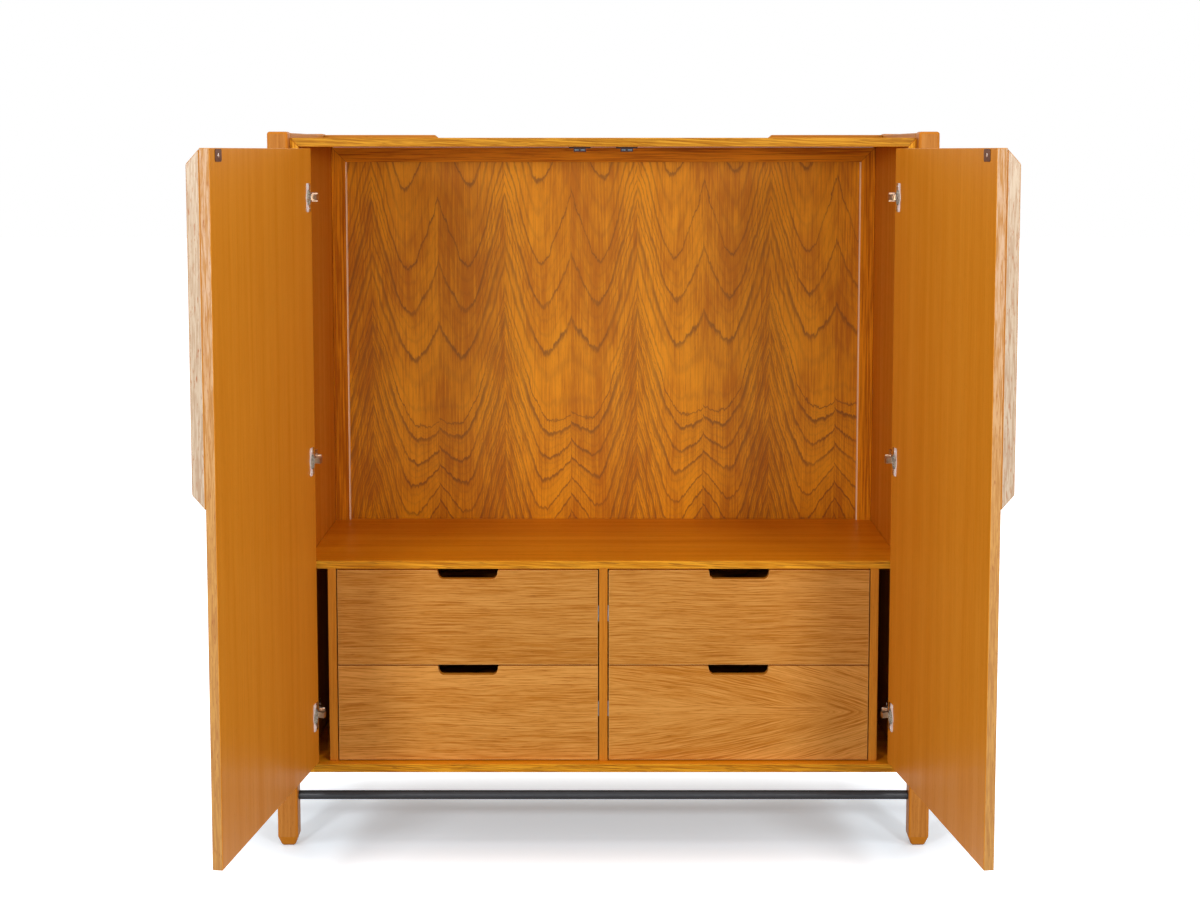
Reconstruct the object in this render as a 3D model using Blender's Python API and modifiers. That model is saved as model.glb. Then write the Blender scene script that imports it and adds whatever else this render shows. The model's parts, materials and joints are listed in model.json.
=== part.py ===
"""Two-door cabinet on four posts, with four inner drawers.

Metres, +Z up, +Y to the back. The cabinet stands on the floor with its doors open and
its drawers pushed in. X = 0 is the middle of the cabinet. The world origin lies on the
floor, under the middle of the box round the open cabinet.
"""

import math

import bmesh
import bpy
from mathutils import Matrix, Vector

# Fits, eased edges and the margins of cuts
FIT = 0.0003
RUN = 0.0004
EASE = 0.0008
SOFT_EASE = 0.0015
FINE_EASE = 0.0005
FRONT_EASE = 0.001
OVERCUT = 0.002
MERGE = 0.00001

# Carcass, a mitred box
CARCASS_WIDTH = 1.352
CARCASS_DEPTH = 0.535
CARCASS_HEIGHT = 1.403
PANEL = 0.019
LEG_ROOM = 0.161

# Posts
POST = 0.045
POST_FORWARD = 0.025
POST_ABOVE_TOP = 0.013
POST_EASE = 0.0055
FOOT = 0.029
FOOT_TAPER = 0.022

# Top rails and rear gallery
RAIL_ABOVE_TOP = 0.0105
RAIL_HEIGHT = 0.050
RAIL_THICK = 0.020
RETURN_LENGTH = 0.280
RETURN_SLOPE = 0.012

# Round stretchers
ROD_DIAMETER = 0.020
ROD_CENTRE = 0.111
ROD_SIDES = 24

# Back
BACK_FRAME_WIDTH = 0.0355
BACK_FRAME_THICK = 0.018
BACK_PANEL_THICK = 0.008
BACK_RECESS = 0.0127

# Deck, drawer housing and divider
INNER_SETBACK = 0.0225
DECK_THICK = 0.018
DRAWER_ROOM = 0.4355
HOUSING_OFFSET = 0.047
HOUSING_THICK = 0.0185
DIVIDER_THICK = 0.019

# Doors
DOOR_THICK = 0.020
DOOR_SIDE_GAP = 0.003
DOOR_END_GAP = 0.004
DOOR_MEETING_GAP = 0.003
DOOR_OPEN = math.radians(97.6)
PIVOT_INSET = 0.003

# Pull bars
PULL_THICK = 0.026
PULL_WIDTH = 0.045
PULL_LENGTH = 0.668
PULL_SLOPE = 0.028
PULL_BELOW_TOP = 0.0015

# Drawers
DRAWER_GAP = 0.003
DRAWER_SIDE_GAP = 0.0025
FRONT_THICK = 0.019
BOX_WALL = 0.012
BOX_REAR_ROOM = 0.0182
BOX_SETBACK = 0.0335
BOX_RISE = 0.010
BOX_BELOW_TOP = 0.0015
BOTTOM_THICK = 0.006
BOTTOM_RISE = 0.010
PARTITION_BACK = 0.219

# Finger notch
NOTCH_TOP = 0.134
NOTCH_BOTTOM = 0.128
NOTCH_DEEP = 0.0207
NOTCH_UPPER_ROUND = 0.003
NOTCH_LOWER_ROUND = 0.0125

# Three-part slides
SLIDE_SPACE = 0.010
SLIDE_HEIGHT = 0.035
SLIDE_WALL = 0.0012
SLIDE_BEHIND_FRONT = 0.001
SLIDE_REAR_SHY = 0.0073
PACKER_SUNK = 0.002
PACKER_HEIGHT = 0.070

# Concealed hinges: arcs round the door's own axis
CUP_RADIUS = 0.0175
CUP_WALL = 0.0010
CUP_DEPTH = 0.0112
CUP_FROM_EDGE = 0.024
CUP_STEPS = 32
FLANGE_THICK = 0.0012
FLANGE_HEIGHT = 0.062
FLANGE_WIDTH = 0.030
FLANGE_RIM = 0.001
FLANGE_ROUND = 0.004
LINK_OUTER = 0.036
LINK_HEIGHT = 0.012
LINK_START = math.radians(28)
LINK_END = math.radians(97)
LINK_SHARE = 0.5
FORK_START = math.radians(30)
FORK_WALL = 0.003
SHOULDER = math.radians(70)
ARC_STEP = math.radians(7)
ARM_LENGTH = 0.058
PLATE_THICK = 0.003
PLATE_LENGTH = 0.034
PLATE_HEIGHT = 0.050
PLATE_START = 0.043
HINGE_FROM_TOP = 0.105
HINGE_FROM_BOTTOM = 0.110

# Magnetic catches, and the space for the strike plates that they meet
CATCH_FROM_MIDDLE = 0.051
CATCH_FLANGE = 0.047
CATCH_FLANGE_THICK = 0.0035
CATCH_BODY = 0.027
CATCH_HEIGHT = 0.011
CATCH_DEPTH = 0.016
STRIKE_SPACE = 0.0016

# Places worked out from the values above
LEFT, RIGHT = 1, -1
SIDE_NAMES = {LEFT: "left", RIGHT: "right"}
HALF = CARCASS_WIDTH / 2
INNER_HALF = HALF - PANEL
CARCASS_BOTTOM = LEG_ROOM
CARCASS_TOP = LEG_ROOM + CARCASS_HEIGHT
INNER_BOTTOM = CARCASS_BOTTOM + PANEL
INNER_TOP = CARCASS_TOP - PANEL
POST_TOP = CARCASS_TOP + POST_ABOVE_TOP
REAR_POST_FRONT = CARCASS_DEPTH - RAIL_THICK
REAR_POST_BACK = REAR_POST_FRONT + POST
BACK_PANEL_FRONT = CARCASS_DEPTH - BACK_RECESS - BACK_PANEL_THICK
BACK_FRAME_FRONT = BACK_PANEL_FRONT - FIT - BACK_FRAME_THICK
DECK_BOTTOM = INNER_BOTTOM + DRAWER_ROOM
HOUSING_OUTER = INNER_HALF - HOUSING_OFFSET
HOUSING_INNER = HOUSING_OUTER - HOUSING_THICK
HOUSING_BACK = BACK_FRAME_FRONT - FIT
DIVIDER_HALF = DIVIDER_THICK / 2
PIVOT_X = INNER_HALF - DOOR_SIDE_GAP - PIVOT_INSET
DOOR_REACH = PIVOT_X - DOOR_MEETING_GAP / 2
DOOR_BOTTOM = INNER_BOTTOM + DOOR_END_GAP
DOOR_TOP = INNER_TOP - DOOR_END_GAP
FRONT_HEIGHT = (DRAWER_ROOM - 3 * DRAWER_GAP) / 2
HINGE_HEIGHTS = {
    "upper": DOOR_TOP - HINGE_FROM_TOP,
    "middle": (DOOR_TOP + DOOR_BOTTOM) / 2,
    "lower": DOOR_BOTTOM + HINGE_FROM_BOTTOM,
}
BOX_FRONT = INNER_SETBACK + FRONT_THICK + FIT
BOX_BACK = BACK_FRAME_FRONT - BOX_REAR_ROOM
SLIDE_FRONT = INNER_SETBACK + FRONT_THICK + SLIDE_BEHIND_FRONT
SLIDE_BACK = BOX_BACK - SLIDE_REAR_SHY
FIXED_LIP = SLIDE_SPACE - 3 * SLIDE_WALL
MIDDLE_WEB = SLIDE_WALL / 2 + RUN
MIDDLE_LIP = SLIDE_SPACE - 2 * SLIDE_WALL
MIDDLE_HEIGHT = SLIDE_HEIGHT - 2 * (SLIDE_WALL + RUN)
MOVING_LIP = MIDDLE_WEB + SLIDE_WALL + RUN
MOVING_HEIGHT = MIDDLE_HEIGHT - 2 * (SLIDE_WALL + RUN)
CUP_CENTRE = CUP_FROM_EDGE - PIVOT_INSET
CUP_BORE = CUP_RADIUS + FIT
CUP_INNER = CUP_RADIUS - CUP_WALL
FLANGE_TOP = DOOR_THICK + FIT + FLANGE_THICK


def rim_clearance(half_height):
    """The radius from the door's axis that just clears the cup's rim at this height."""
    near_edge = CUP_CENTRE - math.sqrt(CUP_INNER**2 - half_height**2)
    return math.hypot(near_edge, FLANGE_TOP) + FIT


LINK_INNER = rim_clearance(LINK_HEIGHT / 2)
FORK_HALF = LINK_HEIGHT / 2 + FIT + FORK_WALL
FORK_INNER = rim_clearance(FORK_HALF)


def door_reach_forward():
    """How far the open door stands in front of the carcass's front plane."""
    return DOOR_REACH * math.sin(DOOR_OPEN) - DOOR_THICK * math.cos(DOOR_OPEN)


FRONT_PLANE = (door_reach_forward() - REAR_POST_BACK) / 2


def clear_scene():
    for item in list(bpy.data.objects):
        bpy.data.objects.remove(item, do_unlink=True)


def new_collection(name):
    group = bpy.data.collections.new(name)
    bpy.context.scene.collection.children.link(group)
    return group


def new_material(name, colour, roughness, metallic=0.0):
    material = bpy.data.materials.new(name)
    material.use_nodes = True
    shader = material.node_tree.nodes["Principled BSDF"]
    shader.inputs["Base Color"].default_value = (*colour, 1.0)
    shader.inputs["Roughness"].default_value = roughness
    shader.inputs["Metallic"].default_value = metallic
    return material


# The scene, its groups and its materials
clear_scene()
PARTS = new_collection("tall_cabinet")
CUTTERS = new_collection("cutters")
COLOURS = {
    "post_oak": new_material("post_oak", (0.55, 0.23, 0.04), 0.35),
    "carcass_veneer": new_material("carcass_veneer", (0.48, 0.17, 0.025), 0.35),
    "back_veneer": new_material("back_veneer", (0.50, 0.18, 0.03), 0.40),
    "door_veneer": new_material("door_veneer", (0.45, 0.15, 0.02), 0.30),
    "pull_oak": new_material("pull_oak", (0.60, 0.27, 0.05), 0.25),
    "front_veneer": new_material("front_veneer", (0.53, 0.24, 0.06), 0.40),
    "box_wood": new_material("box_wood", (0.32, 0.11, 0.02), 0.45),
    "packer_wood": new_material("packer_wood", (0.20, 0.08, 0.03), 0.60),
    "nickel": new_material("nickel", (0.62, 0.60, 0.56), 0.25, 1.0),
    "zinc_steel": new_material("zinc_steel", (0.40, 0.40, 0.41), 0.35, 1.0),
    "black_steel": new_material("black_steel", (0.02, 0.02, 0.022), 0.45, 0.5),
    "brown_plastic": new_material("brown_plastic", (0.06, 0.025, 0.012), 0.40),
}

# Everything hangs from one empty at the middle of the carcass's front edge on the floor
FRAME = bpy.data.objects.new("cabinet_frame", None)
FRAME.location = (0.0, FRONT_PLANE, 0.0)
PARTS.objects.link(FRAME)


def add_object(name, mesh, material, parent=FRAME, place=(0.0, 0.0, 0.0), group=PARTS):
    item = bpy.data.objects.new(name, mesh)
    item.location = place
    item.parent = parent
    group.objects.link(item)
    if material:
        mesh.materials.append(COLOURS[material])
    return item


def ease_edges(item, width=EASE, segments=1, limit=35):
    bevel = item.modifiers.new("eased edges", "BEVEL")
    bevel.width = width
    bevel.segments = segments
    bevel.limit_method = "ANGLE"
    bevel.angle_limit = math.radians(limit)
    return item


def shade_round(item, angle=35):
    item.data.shade_smooth()
    item.data.set_sharp_from_angle(angle=math.radians(angle))
    return item


def box_mesh(name, size, offset=(0.0, 0.0, 0.0)):
    """A box of this size, whose centre lies at offset from the object's origin."""
    mesh = bpy.data.meshes.new(name)
    bm = bmesh.new()
    bmesh.ops.create_cube(bm, size=1.0)
    bmesh.ops.scale(bm, vec=size, verts=bm.verts)
    bmesh.ops.translate(bm, vec=offset, verts=bm.verts)
    bm.to_mesh(mesh)
    bm.free()
    return mesh


def spans_box(name, x, y, z, origin=(0.0, 0.0, 0.0)):
    """A box mesh between pairs of coordinates, about an origin."""
    low = Vector((min(x), min(y), min(z)))
    high = Vector((max(x), max(y), max(z)))
    return box_mesh(name, high - low, (low + high) / 2 - Vector(origin))


def board(name, material, x, y, z, parent=FRAME, ease=EASE):
    """An eased board between pairs of coordinates; its origin is its middle."""
    middle = Vector(((x[0] + x[1]) / 2, (y[0] + y[1]) / 2, (z[0] + z[1]) / 2))
    item = add_object(name, spans_box(name, x, y, z, middle), material, parent, middle)
    return ease_edges(item, ease)


def join_meshes(name, meshes):
    """One mesh that holds separate solids."""
    bm = bmesh.new()
    for mesh in meshes:
        bm.from_mesh(mesh)
    whole = bpy.data.meshes.new(name)
    bm.to_mesh(whole)
    bm.free()
    for mesh in meshes:
        bpy.data.meshes.remove(mesh)
    return whole


def rounded(corners, step=ARC_STEP):
    """Outline points from (x, y, radius) corners, each rounded by its radius."""
    points = []
    count = len(corners)
    for index, (x, y, radius) in enumerate(corners):
        here = Vector((x, y))
        if not radius:
            points.append(here)
            continue
        before = (Vector(corners[index - 1][:2]) - here).normalized()
        after = (Vector(corners[(index + 1) % count][:2]) - here).normalized()
        half = before.angle(after) / 2
        reach = radius / math.tan(half)
        centre = here + (before + after).normalized() * radius / math.sin(half)
        start = here + before * reach - centre
        turn = math.pi - 2 * half
        if before.cross(after) > 0:
            turn = -turn
        steps = max(2, round(abs(turn) / step / 2))
        for k in range(steps + 1):
            spin = Matrix.Rotation(turn * k / steps, 2)
            points.append(centre + spin @ start)
    return points


def arc(radius, start, end):
    steps = max(2, round(abs(end - start) / ARC_STEP))
    angles = [start + (end - start) * k / steps for k in range(steps + 1)]
    return [Vector((radius * math.cos(a), radius * math.sin(a))) for a in angles]


# How an outline's own axes and its thickness lie in the object: rows are X, Y and Z
FACING_UP = Matrix.Identity(4)
FACING_FRONT = Matrix(((1, 0, 0, 0), (0, 0, -1, 0), (0, 1, 0, 0), (0, 0, 0, 1)))
FACING_SIDE = Matrix(((0, 0, 1, 0), (1, 0, 0, 0), (0, 1, 0, 0), (0, 0, 0, 1)))


def prism_mesh(name, outline, thickness, facing=FACING_UP, centre=(0.0, 0.0, 0.0), hole=()):
    """A flat outline with a thickness, half to each side of the outline's plane."""
    curve = bpy.data.curves.new(name, "CURVE")
    curve.dimensions = "2D"
    curve.fill_mode = "BOTH"
    curve.extrude = thickness / 2
    for loop in filter(None, (outline, hole)):
        spline = curve.splines.new("POLY")
        spline.points.add(len(loop) - 1)
        for point, place in zip(spline.points, loop):
            point.co = (place[0], place[1], 0.0, 1.0)
        spline.use_cyclic_u = True
    guide = bpy.data.objects.new(name + "_outline", curve)
    CUTTERS.objects.link(guide)
    bpy.context.view_layer.update()
    graph = bpy.context.evaluated_depsgraph_get()
    mesh = bpy.data.meshes.new_from_object(guide.evaluated_get(graph))
    bpy.data.objects.remove(guide, do_unlink=True)
    bm = bmesh.new()
    bm.from_mesh(mesh)
    bmesh.ops.remove_doubles(bm, verts=bm.verts, dist=MERGE)
    bm.transform(Matrix.Translation(centre) @ facing)
    bmesh.ops.recalc_face_normals(bm, faces=bm.faces)
    if bm.calc_volume(signed=True) < 0:
        bmesh.ops.reverse_faces(bm, faces=bm.faces)
    bm.to_mesh(mesh)
    bm.free()
    mesh.name = name
    mesh.materials.clear()
    return mesh


def cut_or_join(item, other_mesh, operation):
    """Cut a mesh from an object, or join it on, by a Boolean modifier."""
    tool = add_object(item.name + "_" + operation.lower(), other_mesh, None, item.parent,
                      item.location, CUTTERS)
    tool.hide_render = True
    tool.display_type = "WIRE"
    boolean = item.modifiers.new(operation.lower(), "BOOLEAN")
    boolean.operation = operation
    boolean.solver = "EXACT"
    boolean.object = tool
    return item


def mirrored(points, hand):
    """Points of an outline drawn for the left, turned over for the right."""
    return [(hand * x, y) for x, y in points]


# Posts, rails, gallery and stretchers

def post(name, hand, y_front):
    """A square post with eased corners, on a tapered foot."""
    mesh = bpy.data.meshes.new(name)
    bm = bmesh.new()
    length = POST_TOP - FOOT_TAPER
    bmesh.ops.create_cube(bm, size=1.0)
    bmesh.ops.scale(bm, vec=(POST, POST, length), verts=bm.verts)
    bmesh.ops.translate(bm, vec=(0, 0, FOOT_TAPER + length / 2), verts=bm.verts)
    bm.faces.ensure_lookup_table()
    under = min(bm.faces, key=lambda face: face.calc_center_median().z)
    foot = bmesh.ops.extrude_discrete_faces(bm, faces=[under])["faces"][0]
    share = FOOT / POST
    bmesh.ops.scale(bm, vec=(share, share, 1.0), verts=foot.verts)
    bmesh.ops.translate(bm, vec=(0, 0, -FOOT_TAPER), verts=foot.verts)
    bm.to_mesh(mesh)
    bm.free()
    x = -hand * (HALF + FIT + POST / 2)
    item = add_object(name, mesh, "post_oak", place=(x, y_front + POST / 2, 0.0))
    return ease_edges(item, POST_EASE, 3)


def make_posts():
    for hand, side in SIDE_NAMES.items():
        post(f"front_{side}_post", hand, -POST_FORWARD)
        post(f"rear_{side}_post", hand, REAR_POST_FRONT)


def make_side_rails():
    rail_top = CARCASS_TOP + RAIL_ABOVE_TOP
    y = (POST - POST_FORWARD + FIT, REAR_POST_FRONT - FIT)
    z = (rail_top - RAIL_HEIGHT, rail_top)
    for hand, side in SIDE_NAMES.items():
        x = (-hand * (HALF + FIT), -hand * (HALF + FIT + RAIL_THICK))
        board(f"{side}_top_rail", "post_oak", x, y, z, ease=SOFT_EASE)


def make_gallery_returns():
    """The short upstands on the rear edge of the top, one from each rear post."""
    low = CARCASS_TOP + FIT
    high = CARCASS_TOP + RAIL_ABOVE_TOP
    end = HALF - RETURN_LENGTH
    outline = [(-HALF, low), (-end, low), (-end - RETURN_SLOPE, high), (-HALF, high)]
    place = (0.0, CARCASS_DEPTH - RAIL_THICK / 2, 0.0)
    for hand, side in SIDE_NAMES.items():
        mesh = prism_mesh("return", mirrored(outline, hand), RAIL_THICK - FIT, FACING_FRONT)
        ease_edges(add_object(f"{side}_gallery_return", mesh, "post_oak", place=place))


def stretcher_rod(name, y):
    mesh = bpy.data.meshes.new(name)
    bm = bmesh.new()
    radius = ROD_DIAMETER / 2
    bmesh.ops.create_cone(bm, cap_ends=True, segments=ROD_SIDES, radius1=radius,
                          radius2=radius, depth=CARCASS_WIDTH)
    bm.transform(Matrix.Rotation(math.pi / 2, 4, "Y"))
    bm.to_mesh(mesh)
    bm.free()
    shade_round(add_object(name, mesh, "black_steel", place=(0.0, y, ROD_CENTRE)))


def make_stretcher_rods():
    stretcher_rod("front_stretcher_rod", POST / 2 - POST_FORWARD)
    stretcher_rod("rear_stretcher_rod", REAR_POST_FRONT + POST / 2)


# Carcass, back, deck and drawer housing

def mitred_panel(name, outline):
    mesh = prism_mesh(name, outline, CARCASS_DEPTH, FACING_FRONT)
    place = (0.0, CARCASS_DEPTH / 2, 0.0)
    return ease_edges(add_object(name, mesh, "carcass_veneer", place=place))


def make_carcass():
    """Four panels mitred together, each mitre a fit apart."""
    shy = FIT * math.sqrt(0.5)
    for name, outer, inner in (
        ("top_panel", CARCASS_TOP, INNER_TOP),
        ("bottom_panel", CARCASS_BOTTOM, INNER_BOTTOM),
    ):
        mitred_panel(name, [
            (-HALF + shy, outer), (HALF - shy, outer),
            (INNER_HALF - shy, inner), (-INNER_HALF + shy, inner),
        ])
    for hand, side in SIDE_NAMES.items():
        mitred_panel(f"{side}_side_panel", mirrored([
            (-HALF, CARCASS_BOTTOM + shy), (-INNER_HALF, INNER_BOTTOM + shy),
            (-INNER_HALF, INNER_TOP - shy), (-HALF, CARCASS_TOP - shy),
        ], hand))


def make_back():
    """A recessed back panel behind a glued-up frame."""
    half = INNER_HALF - FIT
    low = INNER_BOTTOM + FIT
    high = INNER_TOP - FIT
    width = BACK_FRAME_WIDTH
    outer = [(-half, low), (half, low), (half, high), (-half, high)]
    inner = [(-half + width, low + width), (half - width, low + width),
             (half - width, high - width), (-half + width, high - width)]
    mesh = prism_mesh("frame", outer, BACK_FRAME_THICK, FACING_FRONT, hole=inner)
    place = (0.0, BACK_FRAME_FRONT + BACK_FRAME_THICK / 2, 0.0)
    ease_edges(add_object("back_frame", mesh, "carcass_veneer", place=place))
    board("back_panel", "back_veneer", (-half, half),
          (BACK_PANEL_FRONT, BACK_PANEL_FRONT + BACK_PANEL_THICK), (low, high), ease=FINE_EASE)


def make_deck():
    """The fixed shelf over the drawers, notched round the back frame."""
    half = INNER_HALF - FIT
    notch = half - BACK_FRAME_WIDTH - FIT
    notch_front = BACK_FRAME_FRONT - FIT
    back = BACK_PANEL_FRONT - FIT
    outline = [
        (-half, INNER_SETBACK), (half, INNER_SETBACK), (half, notch_front),
        (notch, notch_front), (notch, back), (-notch, back),
        (-notch, notch_front), (-half, notch_front),
    ]
    mesh = prism_mesh("deck", outline, DECK_THICK)
    place = (0.0, 0.0, DECK_BOTTOM + DECK_THICK / 2)
    ease_edges(add_object("deck_panel", mesh, "carcass_veneer", place=place))


def channel_mesh(turn, web, reach, height, y, z):
    """A C channel along Y. Its web's back lies at web, and its lips reach to reach.

    Both are distances from the wall towards the drawer box, and turn is the side of
    the wall, 1 or -1, on which the box lies.
    """
    inner = web + math.copysign(SLIDE_WALL, reach - web)
    half = height / 2
    rim = half - SLIDE_WALL
    outline = [
        (web, z - half), (reach, z - half), (reach, z - rim), (inner, z - rim),
        (inner, z + rim), (reach, z + rim), (reach, z + half), (web, z + half),
    ]
    outline = [(turn * x, up) for x, up in outline]
    return prism_mesh("channel", outline, y[1] - y[0], FACING_FRONT, (0, sum(y) / 2, 0))


def slide_heights():
    """The middle heights of the lower and the upper drawers' slides."""
    rise = (BOX_RISE + FRONT_HEIGHT - BOX_BELOW_TOP) / 2
    return [low + rise for low in drawer_bottoms()]


def drawer_bottoms():
    step = FRONT_HEIGHT + DRAWER_GAP
    return [INNER_BOTTOM + DRAWER_GAP, INNER_BOTTOM + DRAWER_GAP + step]


def fixed_rails(turn, wall):
    """The fixed slide members on one face of a wall, sunk a little into it."""
    y = (SLIDE_FRONT, SLIDE_BACK)
    rails = []
    for z in slide_heights():
        rail = channel_mesh(turn, -SLIDE_WALL / 2, FIXED_LIP, SLIDE_HEIGHT, y, z)
        rail.transform(Matrix.Translation((wall, 0.0, 0.0)))
        rails.append(rail)
    return rails


def make_housing():
    """The drawer housing's sides with their packers, and the divider, with slide rails."""
    y = (INNER_SETBACK, HOUSING_BACK)
    z = (INNER_BOTTOM + FIT, DECK_BOTTOM - FIT)
    for hand, side in SIDE_NAMES.items():
        x = (-hand * HOUSING_OUTER, -hand * HOUSING_INNER)
        item = board(f"{side}_housing_side", "carcass_veneer", x, y, z)
        item_middle = Matrix.Translation(-item.location)
        face = -hand * (HOUSING_INNER - BOX_SETBACK + SLIDE_SPACE)
        packers = [
            spans_box("packer", (-hand * (HOUSING_INNER + PACKER_SUNK), face),
                      (SLIDE_FRONT, HOUSING_BACK - PACKER_SUNK), (low, high))
            for low, high in (
                (middle - PACKER_HEIGHT / 2, middle + PACKER_HEIGHT / 2)
                for middle in slide_heights()
            )
        ]
        for solids in (packers, fixed_rails(hand, face)):
            whole = join_meshes("fittings", solids)
            whole.transform(item_middle)
            cut_or_join(item, whole, "UNION")
    divider = board("centre_divider", "carcass_veneer", (-DIVIDER_HALF, DIVIDER_HALF), y, z)
    rails = join_meshes("rails", fixed_rails(1, DIVIDER_HALF) + fixed_rails(-1, -DIVIDER_HALF))
    rails.transform(Matrix.Translation(-divider.location))
    cut_or_join(divider, rails, "UNION")


# Doors. Each door's pieces sit under an empty on its hinge axis and are drawn closed:
# local x runs along the door from the axis, y is depth, and the empty turns them open.

def pivot(name, hand, angle):
    axis = bpy.data.objects.new(name, None)
    axis.parent = FRAME
    axis.location = (-hand * PIVOT_X, 0.0, 0.0)
    axis.rotation_euler = (0.0, 0.0, -hand * angle)
    PARTS.objects.link(axis)
    return axis


def cylinder_mesh(name, radius, y_low, y_high, x, z, steps):
    """A disc or pin that lies along Y."""
    mesh = bpy.data.meshes.new(name)
    bm = bmesh.new()
    bmesh.ops.create_cone(bm, cap_ends=True, segments=steps, radius1=radius,
                          radius2=radius, depth=y_high - y_low)
    bm.transform(Matrix.Rotation(math.pi / 2, 4, "X"))
    bmesh.ops.translate(bm, vec=(x, (y_low + y_high) / 2, z), verts=bm.verts)
    bm.to_mesh(mesh)
    bm.free()
    return mesh


def make_door_panel(hand, side, axis):
    name = f"{side}_door_panel"
    x = (-hand * PIVOT_INSET, hand * DOOR_REACH)
    y = (0.0, DOOR_THICK)
    item = board(name, "door_veneer", x, y, (DOOR_BOTTOM, DOOR_TOP), axis)
    middle = item.location
    depth = (DOOR_THICK - CUP_DEPTH - FIT, DOOR_THICK + OVERCUT)
    bores = [
        cylinder_mesh("bore", CUP_BORE, depth[0] - middle.y, depth[1] - middle.y,
                      hand * CUP_CENTRE - middle.x, height - middle.z, CUP_STEPS)
        for height in HINGE_HEIGHTS.values()
    ]
    cut_or_join(item, join_meshes("bores", bores), "DIFFERENCE")


def make_pull_bar(hand, side, axis):
    """The raised bar on the outer face along the meeting edge, sloped at its ends."""
    high = DOOR_TOP - PULL_BELOW_TOP
    low = high - PULL_LENGTH
    outline = [(-FIT, low), (-FIT, high), (-PULL_THICK, high - PULL_SLOPE),
               (-PULL_THICK, low + PULL_SLOPE)]
    mesh = prism_mesh("pull", outline, PULL_WIDTH, FACING_SIDE)
    place = (hand * (DOOR_REACH - PULL_WIDTH / 2), 0.0, 0.0)
    item = add_object(f"{side}_door_pull_bar", mesh, "pull_oak", axis, place)
    ease_edges(item, SOFT_EASE)


def turned_cup():
    """A cup turned round local Z, open at the top, with its rim at FLANGE_TOP."""
    floor = DOOR_THICK - CUP_DEPTH
    lip = CUP_RADIUS + FLANGE_RIM
    under = DOOR_THICK + FIT
    profile = [
        (0.0, floor + CUP_WALL), (CUP_INNER, floor + CUP_WALL), (CUP_INNER, FLANGE_TOP),
        (lip, FLANGE_TOP), (lip, under), (CUP_RADIUS, under), (CUP_RADIUS, floor), (0.0, floor),
    ]
    mesh = bpy.data.meshes.new("cup")
    bm = bmesh.new()
    corners = [bm.verts.new((radius, 0.0, height)) for radius, height in profile]
    for pair in zip(corners, corners[1:]):
        bm.edges.new(pair)
    bm.to_mesh(mesh)
    bm.free()
    cup = add_object("cup", mesh, None)
    screw = cup.modifiers.new("turned", "SCREW")
    screw.axis = "Z"
    screw.steps = CUP_STEPS
    screw.render_steps = CUP_STEPS
    screw.use_merge_vertices = True
    screw.merge_threshold = MERGE
    return cup


def flange_ear_mesh(name, sign):
    """Half of the screwed flange. Its inner edge follows the cup's rim, clear of its mouth."""
    half = FLANGE_WIDTH / 2
    end = FLANGE_HEIGHT / 2
    meeting = math.acos(half / CUP_RADIUS)
    corners = [(x, sign * z, 0.0) for x, z in arc(CUP_RADIUS, meeting, math.pi - meeting)]
    corners += [(-half, sign * end, FLANGE_ROUND), (half, sign * end, FLANGE_ROUND)]
    middle = DOOR_THICK + FIT + FLANGE_THICK / 2
    return prism_mesh(name, rounded(corners), FLANGE_THICK, FACING_UP, (0, 0, middle))


def solid_from(item):
    """The mesh of an object with its modifiers, which takes the object's place."""
    bpy.context.view_layer.update()
    graph = bpy.context.evaluated_depsgraph_get()
    mesh = bpy.data.meshes.new_from_object(item.evaluated_get(graph))
    for modifier in item.modifiers:
        if modifier.type == "BOOLEAN":
            bpy.data.objects.remove(modifier.object, do_unlink=True)
    bpy.data.objects.remove(item, do_unlink=True)
    return mesh


def make_hinge_cups(hand, side, axis):
    """Each door's three cups, turned round Z and laid to face the cabinet."""
    cup = turned_cup()
    for sign in (1, -1):
        cut_or_join(cup, flange_ear_mesh("ear", sign), "UNION")
    one = solid_from(cup)
    one.transform(Matrix.Rotation(-math.pi / 2, 4, "X"))
    for place, height in HINGE_HEIGHTS.items():
        item = add_object(f"{side}_{place}_hinge_cup", one.copy(), "nickel", axis,
                          (hand * CUP_CENTRE, 0.0, height))
        shade_round(item)
    bpy.data.meshes.remove(one)


def make_hinge_links(hand, side):
    """Curved links that turn half as far as the door, round the same axis."""
    axis = pivot(f"{side}_link_axis", hand, DOOR_OPEN * LINK_SHARE)
    outline = arc(LINK_INNER, LINK_START, LINK_END) + arc(LINK_OUTER, LINK_END, LINK_START)
    for place, height in HINGE_HEIGHTS.items():
        mesh = prism_mesh("link", mirrored(outline, hand), LINK_HEIGHT)
        item = add_object(f"{side}_{place}_hinge_link", mesh, "nickel", axis,
                          (0.0, 0.0, height))
        shade_round(item)


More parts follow.
